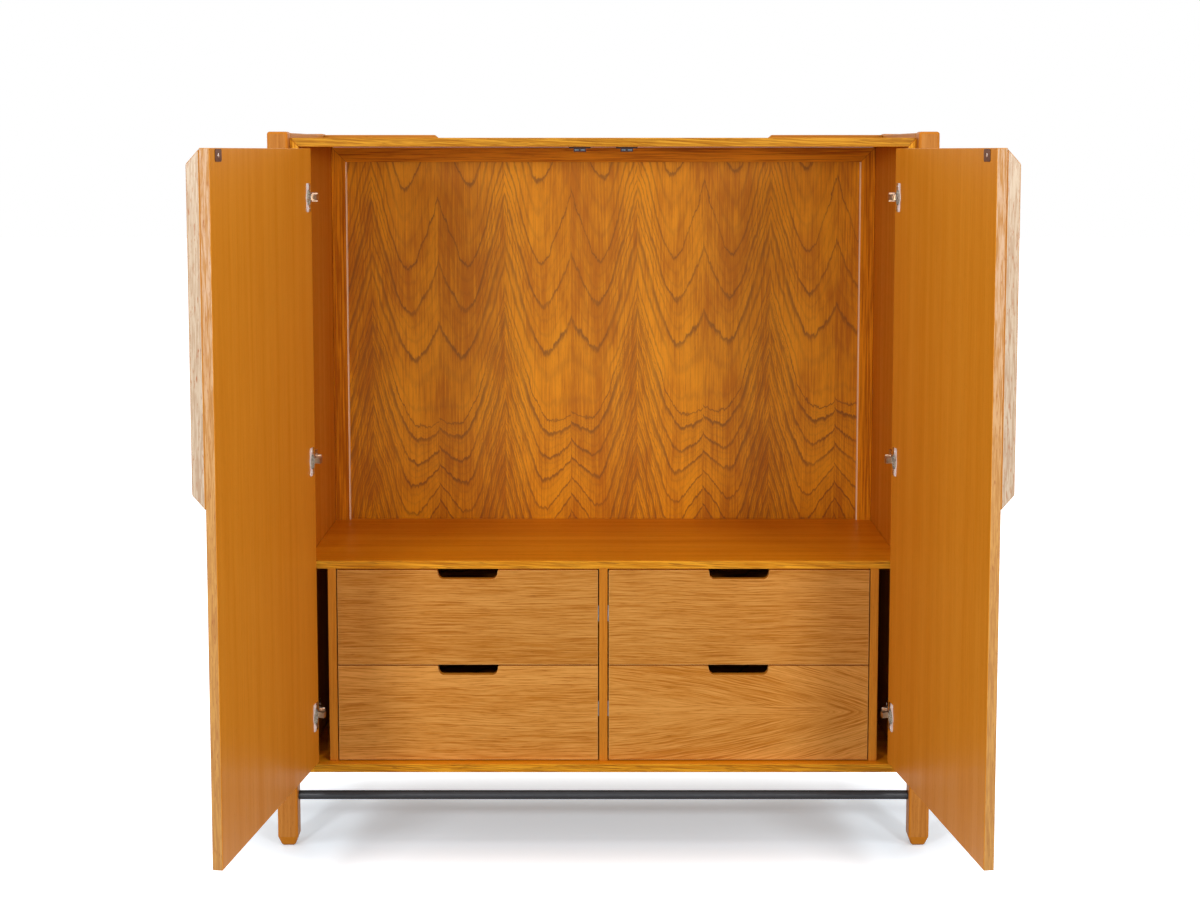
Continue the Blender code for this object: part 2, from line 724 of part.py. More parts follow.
def make_hinge_arms(hand, side):
    """A forked arm on its mounting plate, drawn in the plane of the door's swing."""
    wall = -PIVOT_INSET - DOOR_SIDE_GAP + FIT
    back = LINK_OUTER + FIT + ARM_LENGTH
    shoulder = LINK_OUTER * math.cos(SHOULDER)
    outline = [tuple(p) for p in arc(FORK_INNER, FORK_START, LINK_END)]
    outline += [(wall, FORK_INNER), (wall, back), (shoulder, back)]
    outline += [tuple(p) for p in arc(LINK_OUTER, SHOULDER, FORK_START)]
    slot_half = LINK_HEIGHT / 2 + FIT
    slot_back = LINK_OUTER + FIT
    for place, height in HINGE_HEIGHTS.items():
        arm = add_object(f"{side}_{place}_hinge_arm",
                         prism_mesh("arm", mirrored(outline, hand), 2 * FORK_HALF), "nickel",
                         place=(-hand * PIVOT_X, 0.0, height))
        plate = spans_box("plate", (hand * wall, hand * (wall + PLATE_THICK)),
                          (PLATE_START, PLATE_START + PLATE_LENGTH),
                          (-PLATE_HEIGHT / 2, PLATE_HEIGHT / 2))
        cut_or_join(arm, plate, "UNION")
        slot = spans_box("slot", (-slot_back, slot_back), (0.0, slot_back),
                         (-slot_half, slot_half))
        cut_or_join(arm, slot, "DIFFERENCE")


def make_doors():
    for hand, side in SIDE_NAMES.items():
        axis = pivot(f"{side}_door_axis", hand, DOOR_OPEN)
        make_door_panel(hand, side, axis)
        make_pull_bar(hand, side, axis)
        make_hinge_cups(hand, side, axis)
        make_hinge_links(hand, side)
        make_hinge_arms(hand, side)


def make_catches():
    """The magnetic catches under the top: a flange with a body below it."""
    top = INNER_TOP - FIT
    step = top - CATCH_FLANGE_THICK
    low = top - CATCH_HEIGHT
    front = DOOR_THICK + FIT + STRIKE_SPACE
    for hand, side in SIDE_NAMES.items():
        middle = -hand * CATCH_FROM_MIDDLE
        outline = [
            (middle - CATCH_FLANGE / 2, top), (middle - CATCH_FLANGE / 2, step),
            (middle - CATCH_BODY / 2, step), (middle - CATCH_BODY / 2, low),
            (middle + CATCH_BODY / 2, low), (middle + CATCH_BODY / 2, step),
            (middle + CATCH_FLANGE / 2, step), (middle + CATCH_FLANGE / 2, top),
        ]
        mesh = prism_mesh("catch", outline, CATCH_DEPTH, FACING_FRONT)
        add_object(f"{side}_magnetic_catch", mesh, "brown_plastic",
                   place=(0.0, front + CATCH_DEPTH / 2, 0.0))


# Drawers. Each drawer's empty lies on the middle of its front's lower edge.

def front_outline(half):
    """A drawer front seen from the front, with the finger notch in its top edge."""
    top = FRONT_HEIGHT
    return rounded([
        (-half, 0.0, 0.0), (half, 0.0, 0.0), (half, top, 0.0),
        (NOTCH_TOP / 2, top, NOTCH_UPPER_ROUND),
        (NOTCH_BOTTOM / 2, top - NOTCH_DEEP, NOTCH_LOWER_ROUND),
        (-NOTCH_BOTTOM / 2, top - NOTCH_DEEP, NOTCH_LOWER_ROUND),
        (-NOTCH_TOP / 2, top, NOTCH_UPPER_ROUND),
        (-half, top, 0.0),
    ])


def make_drawer_box(name, hand, outer, inner, rails, axis):
    """The glued box: two sides, a partition, a back and a bottom, with its slide rails."""
    start = BOX_FRONT - INNER_SETBACK
    end = BOX_BACK - INNER_SETBACK
    low = BOX_RISE
    high = FRONT_HEIGHT - BOX_BELOW_TOP
    floor = low + BOTTOM_RISE
    over = (floor + BOTTOM_THICK, high + OVERCUT)
    partition = start + PARTITION_BACK
    item = board(name, "box_wood", outer, (start, end), (low, high), axis)
    spaces = [
        spans_box("front space", inner, (start - OVERCUT, partition), over),
        spans_box("rear space", inner, (partition + BOX_WALL, end - BOX_WALL), over),
        spans_box("under space", inner, (start - OVERCUT, end - BOX_WALL),
                  (low - OVERCUT, floor)),
    ]
    back_to_middle = Matrix.Translation(-item.location)
    for solids, operation in ((spaces, "DIFFERENCE"), (rails, "UNION")):
        whole = join_meshes("tool", solids)
        whole.transform(back_to_middle)
        cut_or_join(item, whole, operation)


def make_drawer(level, hand, side, bottom):
    """A drawer's front and box, and the coupled middle members of its two slides."""
    name = f"{level}_{side}_drawer"
    x_wall = -hand * HOUSING_INNER
    x_divider = -hand * DIVIDER_HALF
    gap = hand * DRAWER_SIDE_GAP
    centre = (x_wall + x_divider) / 2
    half = abs(x_divider - x_wall) / 2 - DRAWER_SIDE_GAP
    place = (centre, INNER_SETBACK, bottom)
    axis, carrier = (bpy.data.objects.new(name + end, None) for end in ("_axis", "_slide_axis"))
    for empty in (axis, carrier):
        empty.parent = FRAME
        empty.location = place
        PARTS.objects.link(empty)

    front = prism_mesh("front", front_outline(half), FRONT_THICK, FACING_FRONT)
    item = add_object(name + "_front", front, "front_veneer", axis, (0.0, FRONT_THICK / 2, 0.0))
    ease_edges(item, FRONT_EASE, 2)

    outer = (x_wall + hand * BOX_SETBACK - centre, x_divider - hand * SLIDE_SPACE - centre)
    inner = (outer[0] + hand * BOX_WALL, outer[1] - hand * BOX_WALL)
    y = (SLIDE_FRONT - INNER_SETBACK, SLIDE_BACK - INNER_SETBACK)
    z = (BOX_RISE + FRONT_HEIGHT - BOX_BELOW_TOP) / 2
    rails = []
    for where, turn, face in (("outer", hand, outer[0]), ("inner", -hand, outer[1])):
        wall = Matrix.Translation((face - turn * SLIDE_SPACE, 0.0, 0.0))
        moving = channel_mesh(turn, SLIDE_SPACE + SLIDE_WALL / 2, MOVING_LIP,
                              MOVING_HEIGHT, y, z)
        moving.transform(wall)
        rails.append(moving)
        middle = channel_mesh(turn, MIDDLE_WEB, MIDDLE_LIP, MIDDLE_HEIGHT, y, z)
        middle.transform(wall)
        add_object(f"{name}_{where}_slide_rail", middle, "zinc_steel", carrier)
    make_drawer_box(name + "_box", hand, outer, inner, rails, axis)


make_posts()
make_side_rails()
make_gallery_returns()
make_stretcher_rods()
make_carcass()
make_back()
make_deck()
make_housing()
make_doors()
make_catches()
for drawer_level, drawer_bottom in zip(("lower", "upper"), drawer_bottoms()):
    for drawer_hand, drawer_side in SIDE_NAMES.items():
        make_drawer(drawer_level, drawer_hand, drawer_side, drawer_bottom)
bpy.context.view_layer.update()
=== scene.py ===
"""The looks of the two-door cabinet: its finishes, small fittings, light and camera.

Metres, +Z up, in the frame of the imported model: +Y is the back, and X = 0 the middle.
"""

import json
import math

import bmesh
import bpy
from mathutils import Matrix, Vector


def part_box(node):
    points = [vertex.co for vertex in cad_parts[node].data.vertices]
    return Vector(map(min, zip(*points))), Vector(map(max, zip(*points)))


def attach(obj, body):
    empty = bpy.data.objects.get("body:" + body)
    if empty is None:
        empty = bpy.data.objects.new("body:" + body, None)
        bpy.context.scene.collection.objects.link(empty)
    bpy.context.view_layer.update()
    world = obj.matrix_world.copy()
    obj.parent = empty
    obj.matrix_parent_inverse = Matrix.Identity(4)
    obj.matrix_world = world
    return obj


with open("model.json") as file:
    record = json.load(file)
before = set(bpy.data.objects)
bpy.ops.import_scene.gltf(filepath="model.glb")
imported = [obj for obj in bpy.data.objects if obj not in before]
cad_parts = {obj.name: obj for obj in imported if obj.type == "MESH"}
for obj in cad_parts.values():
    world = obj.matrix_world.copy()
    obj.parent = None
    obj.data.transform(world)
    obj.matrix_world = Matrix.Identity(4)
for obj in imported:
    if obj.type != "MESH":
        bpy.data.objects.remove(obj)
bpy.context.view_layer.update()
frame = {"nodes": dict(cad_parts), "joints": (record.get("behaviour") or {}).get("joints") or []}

NODES = frame["nodes"]

# The photograph's camera: above the middle, level with the cabinet's top, looking down
PHOTO_WIDTH = 1200
FOCAL_PIXELS = 1918
CAMERA_AT = (0.0, -4.109, 1.534)
CAMERA_DOWN = math.radians(5.31)
SHIFT_X = -0.00275
SHIFT_Y = -0.10
SENSOR = 36.0

# Sides and doors
LEFT, RIGHT = 1, -1
SIDES = {"left": LEFT, "right": RIGHT}
PLACES = ("upper", "middle", "lower")
JOINTS = {joint["name"]: joint for joint in frame["joints"]}
DOOR_OPEN = math.radians(-JOINTS["left_door_hinge"]["range_deg"][0])
PIVOT = Vector(JOINTS["right_door_hinge"]["pos_m"])

# Sizes of the wooden parts that finishes and fittings go by
DOOR_THICK = 0.020
DOOR_GAP = 0.0015
FRAME_WIDTH = 0.0355
DIVIDER_HALF = 0.00965
HOUSING_RAIL = 0.0102
BOX_MARGIN = 0.0008

# Places of the small fittings: from a door's axis, x runs to the cabinet's middle, and y from
# the doors' outer faces to the back. Screws and rivets are radius and height.
HINGE_X = {"cup": 0.021, "plate": -0.0027, "arm": 0.0123}
FLANGE_FACE = 0.0215
FLANGE_SCREWS = 0.0235
PLATE_SCREWS = 0.018
PLATE_SCREWS_BACK = 0.060
ARM_SCREWS_BACK = (0.052, 0.080)
CHEEK = 0.0093
RIVET_AT = ((0.0285, math.radians(50)), (0.0285, math.radians(80)))
SCREWS = {"flange": (0.0040, 0.0016), "plate": (0.0038, 0.0018), "arm": (0.0032, 0.0012),
          "strike": (0.0036, 0.0003)}
RIVET = (0.0022, 0.0009)
STRIKE = (0.036, 0.0012, 0.024)
STRIKE_EASE = 0.0005
STRIKE_FROM_EDGE = {"left": 0.047, "right": 0.054}
STRIKE_BELOW_TOP = 0.0015
POLE_SIZE = (0.0100, 0.0006, 0.0024)
POLE_EASE = 0.00015
POLE_SPREAD = 0.0066
POLE_RISE = 0.0042


def srgb(red, green, blue):
    """An 8-bit screen colour as the linear values that shaders take."""
    def linear(value):
        value /= 255
        return value / 12.92 if value <= 0.04045 else ((value + 0.055) / 1.055) ** 2.4
    return (linear(red), linear(green), linear(blue), 1.0)


class Graph:
    """A material's node tree, with short calls for the nodes used here."""

    def __init__(self, name, **sockets):
        self.material = bpy.data.materials.new(name)
        self.material.use_nodes = True
        self.tree = self.material.node_tree
        self.shader = self.tree.nodes["Principled BSDF"]
        for key, value in sockets.items():
            self.put(self.shader.inputs[key.replace("_", " ")], value)

    def put(self, socket, value):
        if isinstance(value, bpy.types.NodeSocket):
            self.tree.links.new(value, socket)
        else:
            socket.default_value = value

    def node(self, kind, out=0, settings=(), **inputs):
        item = self.tree.nodes.new("ShaderNode" + kind)
        for key, value in dict(settings).items():
            setattr(item, key, value)
        for key, value in inputs.items():
            socket = int(key[1:]) if key[1:].isdigit() else key.replace("_", " ")
            self.put(item.inputs[socket], value)
        return item.outputs[out]

    def math(self, operation, *values, clamp=False):
        settings = {"operation": operation, "use_clamp": clamp}
        return self.node("Math", 0, settings, **{f"i{k}": v for k, v in enumerate(values)})

    def place(self):
        """A surface point at rest, as x, y and z sockets."""
        point = self.node("TexCoord", "Object")
        split = self.node("SeparateXYZ", 0, (), i0=point).node
        return [split.outputs[k] for k in range(3)]

    def vector(self, *values):
        return self.node("CombineXYZ", 0, (), **{f"i{k}": v for k, v in enumerate(values)})

    def noise(self, point, scale=(1, 1, 1), detail=2.0, roughness=0.5, distortion=0.0):
        """Smooth noise, 0 to 1, with scale given as features per metre each way."""
        scaled = self.node("VectorMath", 0, {"operation": "MULTIPLY"}, i0=point, i1=scale)
        return self.node("TexNoise", 0, (), Vector=scaled, Scale=1.0, Detail=detail,
                         Roughness=roughness, Distortion=distortion)

    def step(self, value, low, high, out_low=0.0, out_high=1.0):
        """A smooth step from low to high."""
        return self.node("MapRange", 0, {"interpolation_type": "SMOOTHSTEP"}, i0=value,
                         i1=low, i2=high, i3=out_low, i4=out_high)

    def mix(self, share, first, second, blend="MIX"):
        settings = {"data_type": "RGBA", "blend_type": blend}
        return self.node("Mix", 2, settings, i0=share, i6=first, i7=second)

    def blend(self, share, first, second):
        """Numbers mixed by share."""
        return self.node("Mix", 0, {"data_type": "FLOAT"}, i0=share, i2=first, i3=second)

    def arris(self, radius, low=0.02, high=0.25):
        """1 on edges and 0 on flats."""
        bent = self.node("Bevel", 0, {"samples": 4}, Radius=radius)
        flat = self.node("NewGeometry", "Normal")
        same = self.node("VectorMath", "Value", {"operation": "DOT_PRODUCT"}, i0=bent, i1=flat)
        return self.step(self.math("SUBTRACT", 1.0, same), low, high)

    def bump(self, height, strength, distance):
        normal = self.node("Bump", 0, (), Strength=strength, Distance=distance, Height=height)
        self.put(self.shader.inputs["Normal"], normal)

    def finish(self, **sockets):
        for key, value in sockets.items():
            self.put(self.shader.inputs[key.replace("_", " ")], value)
        return self.material


# Wood

PORE = srgb(96, 44, 12)
FLECK = srgb(164, 100, 62)
FRONT_PALE = srgb(218, 155, 78)
FRONT_DEEP = srgb(186, 116, 38)
FRONT_VEIN = srgb(158, 90, 32)
# Painted highlight on the drawer fronts' top faces
FRONT_TOP_HIGHLIGHT = srgb(232, 148, 36)
# Painted highlight on the drawer fronts' edges
FRONT_EDGE_HIGHLIGHT = srgb(238, 184, 120)
# Painted highlight on the back frame's inner edges
FRAME_EDGE_HIGHLIGHT = srgb(255, 230, 196)
OUTER_PALE = srgb(214, 148, 70)
OUTER_DEEP = srgb(190, 122, 46)
# Painted highlight on the edges of the wooden parts
EDGE_HIGHLIGHT_OAK = srgb(228, 164, 66)
EDGE_PALE = srgb(236, 166, 44)
EDGE_DEEP = srgb(196, 122, 20)
EDGE_LINE = srgb(124, 66, 14)
HONEY = srgb(208, 130, 30)
HONEY_DEEP = srgb(186, 106, 14)
HOUSING_PALE = srgb(214, 138, 44)
HOUSING_DEEP = srgb(176, 100, 22)
# Drawer boards: dark, partly their own tone and partly painted shade
BOX_PALE = srgb(184, 110, 22)
BOX_DEEP = srgb(126, 64, 6)
BOX_LINE = srgb(84, 40, 12)
# Painted highlight on the drawer boards' top faces
BOX_TOP_HIGHLIGHT = srgb(196, 118, 28)
LACQUER = (1.0, 0.70, 0.26, 1.0)
BACK_LACQUER = (1.0, 0.74, 0.26, 1.0)
BACK_PALE = srgb(224, 142, 8)
BACK_DEEP = srgb(174, 92, 0)
BACK_SHADE = srgb(158, 80, 2)
BACK_LINE = srgb(106, 48, 18)


def grain_point(g, axis, slope=0.0):
    """Coordinates whose third axis runs along the grain, which may slope a little."""
    x, y, z = g.place()
    if axis == "X":
        rest, along = (y, z), x
    elif axis == "Y":
        rest, along = (x, z), y
    else:
        rest, along = (x, y), z
    across = g.math("MULTIPLY_ADD", along, slope, rest[1])
    return g.vector(rest[0], across, along)


def grain_layers(g, point):
    """Broad bands, fibre streaks and pore dashes, each 0 to 1."""
    bands = g.noise(point, (26, 26, 0.7), 3.0, 0.55, 0.2)
    streaks = g.noise(point, (260, 260, 7.0), 3.0, 0.62, 0.1)
    dashes = g.noise(point, (1150, 1150, 62.0), 1.0, 0.5)
    return bands, streaks, dashes


def wood(name, axis, pale, deep, pores=0.35, contrast=1.0, rough=0.40, coat=0.0, arris=None,
         point=None, extra=None, lines=0.9, gloss=0.20):
    """Lacquered, straight-grained wood.

    The grain runs along one axis, or as point(g) places it. extra(g, colour, share) may lay
    more over the colour, and arris is the colour of a painted highlight on the edges.
    """
    g = Graph(name)
    point = point(g) if point else grain_point(g, axis)
    bands, streaks, dashes = grain_layers(g, point)
    mixed = g.math("MULTIPLY_ADD", g.math("SUBTRACT", streaks, 0.5), lines, bands)
    share = g.step(mixed, 0.5 - 0.42 / contrast, 0.5 + 0.42 / contrast)
    colour = g.mix(share, pale, deep)
    pore = g.step(dashes, 0.60, 0.74)
    rows = g.step(streaks, 0.40, 0.62, 0.25, 1.0)
    pore = g.math("MULTIPLY", pore, rows)
    colour = g.mix(g.math("MULTIPLY", pore, pores), colour, PORE)
    if extra:
        colour = extra(g, colour, share)
    if arris:
        # Painted highlight: the edges are made paler in the arris colour.
        colour = g.mix(g.math("MULTIPLY", g.arris(0.0022), 0.75), colour, arris)
    height = g.math("SUBTRACT", g.math("MULTIPLY", streaks, 0.35), pore)
    g.bump(height, 0.25, 0.0004)
    roughness = g.blend(pore, g.step(bands, 0.3, 0.7, rough - 0.04, rough + 0.05), rough + 0.25)
    return g.finish(Base_Color=colour, Roughness=roughness, Coat_Weight=coat,
                    Coat_Roughness=0.22, Specular_IOR_Level=gloss, Specular_Tint=LACQUER)


# Book-matched back veneer: leaves mirrored at each seam, with flames from every other seam.
# A growth line dips to a valley in each leaf. LINE_HEIGHTS are the lines' heights there.
LEAF = 0.1617
SEAM_AT = 0.0825
VALLEY = 0.084
FLAME_RISE = 0.31
VALLEY_ROUND = 0.24
VALLEY_LIFT = 0.015
CROWN_LEAST = 0.015
CROWN_GROWTH = 0.40
CROWN_LOWEST_AT = 0.875
LEAF_DRIFT = 0.0083
TOP_GAP = 0.19
WIDEST_GAP = 0.2
LINE_HEIGHTS = (1.64, 1.45, 1.26, 1.157, 1.052, 0.898, 0.862, 0.798, 0.738, 0.660, 0.596, 0.530,
                0.468, 0.402, 0.340, 0.276, 0.210, 0.140, 0.070, 0.0, -0.07, -0.14, -0.21)


def curve_of(g, value, low, high, points, top):
    """A smooth curve through points, for a value from low to high."""
    span = g.math("DIVIDE", g.math("SUBTRACT", value, low), high - low, clamp=True)
    out = g.node("FloatCurve", 0, (), Value=span)
    mapping = out.node.mapping
    line = mapping.curves[0].points
    places = sorted(((at - low) / (high - low), to / top) for at, to in points)
    for number, (at, to) in enumerate(places):
        if number < 2:
            line[number].location = (at, to)
        else:
            line.new(at, to)
    for point in line:
        point.handle_type = "AUTO_CLAMPED"
    mapping.update()
    return g.math("MULTIPLY", out, top)


def growth_lines(g, x, z):
    """The book-matched veneer's line darkness, the shade under it, the leaf's number, and a
    point whose coordinates are mirrored from leaf to leaf.
    """
    from_seam = g.math("SUBTRACT", x, SEAM_AT)
    leaf = g.math("FLOOR", g.math("DIVIDE", from_seam, LEAF))
    u = g.math("PINGPONG", from_seam, LEAF)
    level = g.math("MULTIPLY_ADD", leaf, -LEAF_DRIFT, z)
    change = g.math("MULTIPLY", leaf, 0.11)
    flat = g.vector(u, change, level)
    sway = g.math("SUBTRACT", g.noise(flat, (10, 1, 4), 2.0), 0.5)
    across = g.math("MULTIPLY_ADD", sway, 0.024, u)
    flame = g.math("MULTIPLY", g.math("SUBTRACT", 1.0, g.math("DIVIDE", across, VALLEY)),
                   FLAME_RISE)
    crown = g.math("DIVIDE", g.math("SUBTRACT", across, VALLEY), LEAF - VALLEY)
    low = g.math("SUBTRACT", level, flame)
    for _ in range(3):
        off = g.math("ABSOLUTE", g.math("SUBTRACT", low, CROWN_LOWEST_AT))
        rise = g.math("MULTIPLY", crown, g.math("MULTIPLY_ADD", off, CROWN_GROWTH, CROWN_LEAST))
        low = g.math("SUBTRACT", level, g.math("SMOOTH_MAX", flame, rise, VALLEY_ROUND))
    jag = g.math("SUBTRACT", g.noise(flat, (105, 1, 30), 4.0, 0.62, 0.4), 0.5)
    wave = g.math("SUBTRACT", g.noise(flat, (26, 1, 9), 2.0), 0.5)
    fibre = g.math("SUBTRACT", g.noise(flat, (330, 1, 24), 2.0), 0.5)
    for value, size in ((jag, 0.026), (wave, 0.032), (fibre, 0.011)):
        low = g.math("MULTIPLY_ADD", value, size, low)
    low = g.math("ADD", low, VALLEY_LIFT)
    top, bottom = LINE_HEIGHTS[0], LINE_HEIGHTS[-1]
    count = len(LINE_HEIGHTS) - 1
    ring = curve_of(g, low, bottom, top, [(at, k) for k, at in enumerate(LINE_HEIGHTS)], count)
    gaps = [(at, LINE_HEIGHTS[k - 1] - at if k else TOP_GAP) for k, at in enumerate(LINE_HEIGHTS)]
    gap = curve_of(g, low, bottom, top, gaps, WIDEST_GAP)
    steep = g.step(across, VALLEY - 0.028, VALLEY - 0.004, 0.40, 1.0)
    part = g.math("FRACT", ring)
    below = g.math("MULTIPLY", g.math("MULTIPLY", part, gap), steep)
    above = g.math("MULTIPLY", g.math("MULTIPLY", g.math("SUBTRACT", 1.0, part), gap), steep)
    line = g.math("MAXIMUM", g.step(below, 0.0012, 0.0098, 1.0, 0.0),
                  g.step(above, 0.0, 0.0042, 1.0, 0.0))
    shade = g.math("EXPONENT", g.math("MULTIPLY", below, -60.0))
    faint = g.step(g.noise(flat, (17, 1, 13), 2.0), 0.30, 0.62, 0.55, 1.0)
    softer = g.step(across, 0.02, VALLEY, 0.80, 1.0)
    line = g.math("MULTIPLY", g.math("MULTIPLY", line, faint), softer)
    calm = g.step(across, 0.03, VALLEY, 0.15, 1.0)
    shade = g.math("MULTIPLY", g.math("MULTIPLY", shade, faint), calm)
    more = g.math("FRACT", g.math("MULTIPLY_ADD", ring, 3.0, 0.5))
    thin = g.step(g.math("ABSOLUTE", g.math("SUBTRACT", more, 0.5)), 0.02, 0.22, 1.0, 0.0)
    thin = g.math("MULTIPLY", thin, g.step(across, 0.030, VALLEY, 0.62, 0.18))
    return g.math("MAXIMUM", line, thin), shade, leaf, flat


def back_veneer():
    g = Graph("back_veneer")
    x, y, z = g.place()
    line, shade, leaf, flat = growth_lines(g, x, z)
    point = grain_point(g, "Z")
    bands, streaks, dashes = grain_layers(g, point)
    mottle = g.noise(flat, (14, 1, 4.5), 3.0, 0.62)
    other = g.math("PINGPONG", leaf, 1.0)
    tone = g.math("MULTIPLY_ADD", g.math("SUBTRACT", streaks, 0.5), 0.90, mottle)
    tone = g.math("MULTIPLY_ADD", other, 0.10, tone)
    colour = g.mix(g.step(tone, 0.28, 0.80), BACK_PALE, BACK_DEEP)
    colour = g.mix(g.math("MULTIPLY", shade, 0.42), colour, BACK_SHADE)
    pore = g.step(dashes, 0.58, 0.72)
    near = g.math("MULTIPLY_ADD", shade, 0.5, 0.25)
    colour = g.mix(g.math("MULTIPLY", pore, near), colour, BACK_LINE)
    colour = g.mix(g.math("MULTIPLY", line, 0.78), colour, BACK_LINE)
    height = g.math("SUBTRACT", g.math("MULTIPLY", streaks, 0.3), pore)
    g.bump(height, 0.2, 0.0003)
    roughness = g.step(mottle, 0.3, 0.7, 0.36, 0.42)
    return g.finish(Base_Color=colour, Roughness=roughness, Specular_IOR_Level=0.48,
                    Specular_Tint=BACK_LACQUER)


def cathedral_point(x_tip, z_middle, slope, slope_ease, flatness):
    """Grain along X that closes to a point near x_tip, like the end of a crown cut."""
    def make(g):
        x, y, z = g.place()
        off = g.math("SUBTRACT", z, z_middle)
        round_off = g.math("SQRT", g.math("MULTIPLY_ADD", off, off, flatness ** 2))
        away = g.math("SUBTRACT", x_tip, x)
        drop = g.math("MULTIPLY", away, g.math("MULTIPLY_ADD", away, -slope_ease, slope))
        ring = g.math("SUBTRACT", round_off, drop)
        wave = g.noise(g.vector(x, y, z), (6, 1, 24), 2.0)
        ring = g.math("MULTIPLY_ADD", wave, 0.010, ring)
        level = g.vector(y, g.math("MULTIPLY_ADD", wave, 0.010, z), x)
        heart = g.math("MULTIPLY", g.step(g.math("ABSOLUTE", off), 0.004, 0.030, 1.0, 0.0),
                       g.step(away, 0.06, 0.16))
        return g.vector(y, ring, x), level, heart
    return make


def wavy_point(offset, sway):
    """Grain along X that wanders a little."""
    def make(g):
        x, y, z = g.place()
        wave = g.noise(g.vector(g.math("ADD", x, offset), y, z), (3.2, 1, 9), 2.0)
        spot = g.vector(y, g.math("MULTIPLY_ADD", wave, sway, z), g.math("ADD", x, offset))
        return spot, None, None
    return make


def by_side(axes):
    """Grain that turns with the face: each face's normal picks the axis it runs along."""
    def make(g):
        x, y, z = g.place()
        normal = g.node("TexCoord", "Normal")
        split = g.node("SeparateXYZ", 0, (), i0=normal).node
        facing_x = g.math("GREATER_THAN", g.math("ABSOLUTE", split.outputs[0]), 0.7)
        side, front = [{"X": (y, z, x), "Y": (x, z, y), "Z": (x, y, z)}[a] for a in axes]
        return g.vector(*[g.blend(facing_x, f, s) for f, s in zip(front, side)])
    return make


def past_corner(g, opening):
    """How much further a point lies into the back frame's sides than into its top or bottom."""
    x, y, z = g.place()
    half_width, middle, half_height = opening
    sideways = g.math("SUBTRACT", g.math("ABSOLUTE", x), half_width)
    up = g.math("SUBTRACT", g.math("ABSOLUTE", g.math("SUBTRACT", z, middle)), half_height)
    return g.math("SUBTRACT", sideways, up)


def frame_point(opening):
    """Grain of the back frame: upright in its sides, level between their mitres."""
    def make(g):
        x, y, z = g.place()
        side = g.math("GREATER_THAN", past_corner(g, opening), 0.0)
        return g.vector(y, g.blend(side, z, x), g.blend(side, x, z))
    return make


def edge_band(pale, deep, flecks=0.0, axis="X", painted_sheen=None, lines=0.0):
    """A layer that puts an oak edge band on the faces that look to the front.

    Its grain runs along the axis. flecks and lines are the strengths of dark flecks and growth
    lines, and a paler tint, a painted sheen, replaces the pale one near the top of the doors.
    """
    def layer(g, colour, share):
        normal = g.node("TexCoord", "Normal")
        front = g.node("SeparateXYZ", "Y", (), i0=normal)
        front = g.math("LESS_THAN", front, -0.8)
        point = grain_point(g, axis, 0.05)
        grain = g.noise(point, (330, 330, 7.0), 3.0, 0.60)
        light = pale
        # Painted sheen: the band turns paler towards the top of the doors.
        if painted_sheen:
            light = g.mix(g.step(g.place()[2], 0.75, 1.35), pale, painted_sheen)
        band = g.mix(g.step(grain, 0.38, 0.62), light, deep)
        if flecks:
            rows = g.noise(point, (430, 430, 48.0), 3.0, 0.6)
            band = g.mix(g.math("MULTIPLY", g.step(rows, 0.56, 0.72), flecks), band, FLECK)
        if lines:
            rings = g.noise(point, (170, 170, 6.0), 3.0, 0.55, 0.3)
            off = g.math("ABSOLUTE", g.math("SUBTRACT", rings, 0.53))
            ring = g.step(off, 0.008, 0.050, 1.0, 0.0)
            band = g.mix(g.math("MULTIPLY", ring, lines), band, EDGE_LINE)
        return g.mix(front, colour, band)
    return layer


def mitres_and_painted_highlight(opening):
    """A layer with the back frame's mitres, and a painted highlight: a pale line on the inner
    arris of its sides.
    """
    def layer(g, colour, share):
        past = g.math("ABSOLUTE", past_corner(g, opening))
        colour = g.mix(g.step(past, 0.0004, 0.0012, 0.6, 0.0), colour, PORE)
        x, y, z = g.place()
        off = g.math("ABSOLUTE", g.math("SUBTRACT", g.math("ABSOLUTE", x), opening[0]))
        up = g.math("ABSOLUTE", g.math("SUBTRACT", z, opening[1]))
        # Painted highlight: a pale line along the inner edges of the frame's sides.
        pale = g.math("MULTIPLY", g.step(off, 0.0010, 0.0021, 0.95, 0.0),
                      g.math("LESS_THAN", up, opening[2]))
        return g.mix(pale, colour, FRAME_EDGE_HIGHLIGHT)
    return layer


def painted_corner_shading(painted_shading_tint):
    """A layer that tints the rounded corners of posts, between their flat faces, with painted
    shading: the colour that light falling on these curved faces gives.
    """
    def layer(g, colour, share):
        split = g.node("SeparateXYZ", 0, (), i0=g.node("TexCoord", "Normal")).node
        flat = g.math("MAXIMUM", g.math("ABSOLUTE", split.outputs[0]),
                      g.math("ABSOLUTE", split.outputs[1]))
        return g.mix(g.step(flat, 0.93, 0.99, 0.85, 0.0), colour, painted_shading_tint)
    return layer


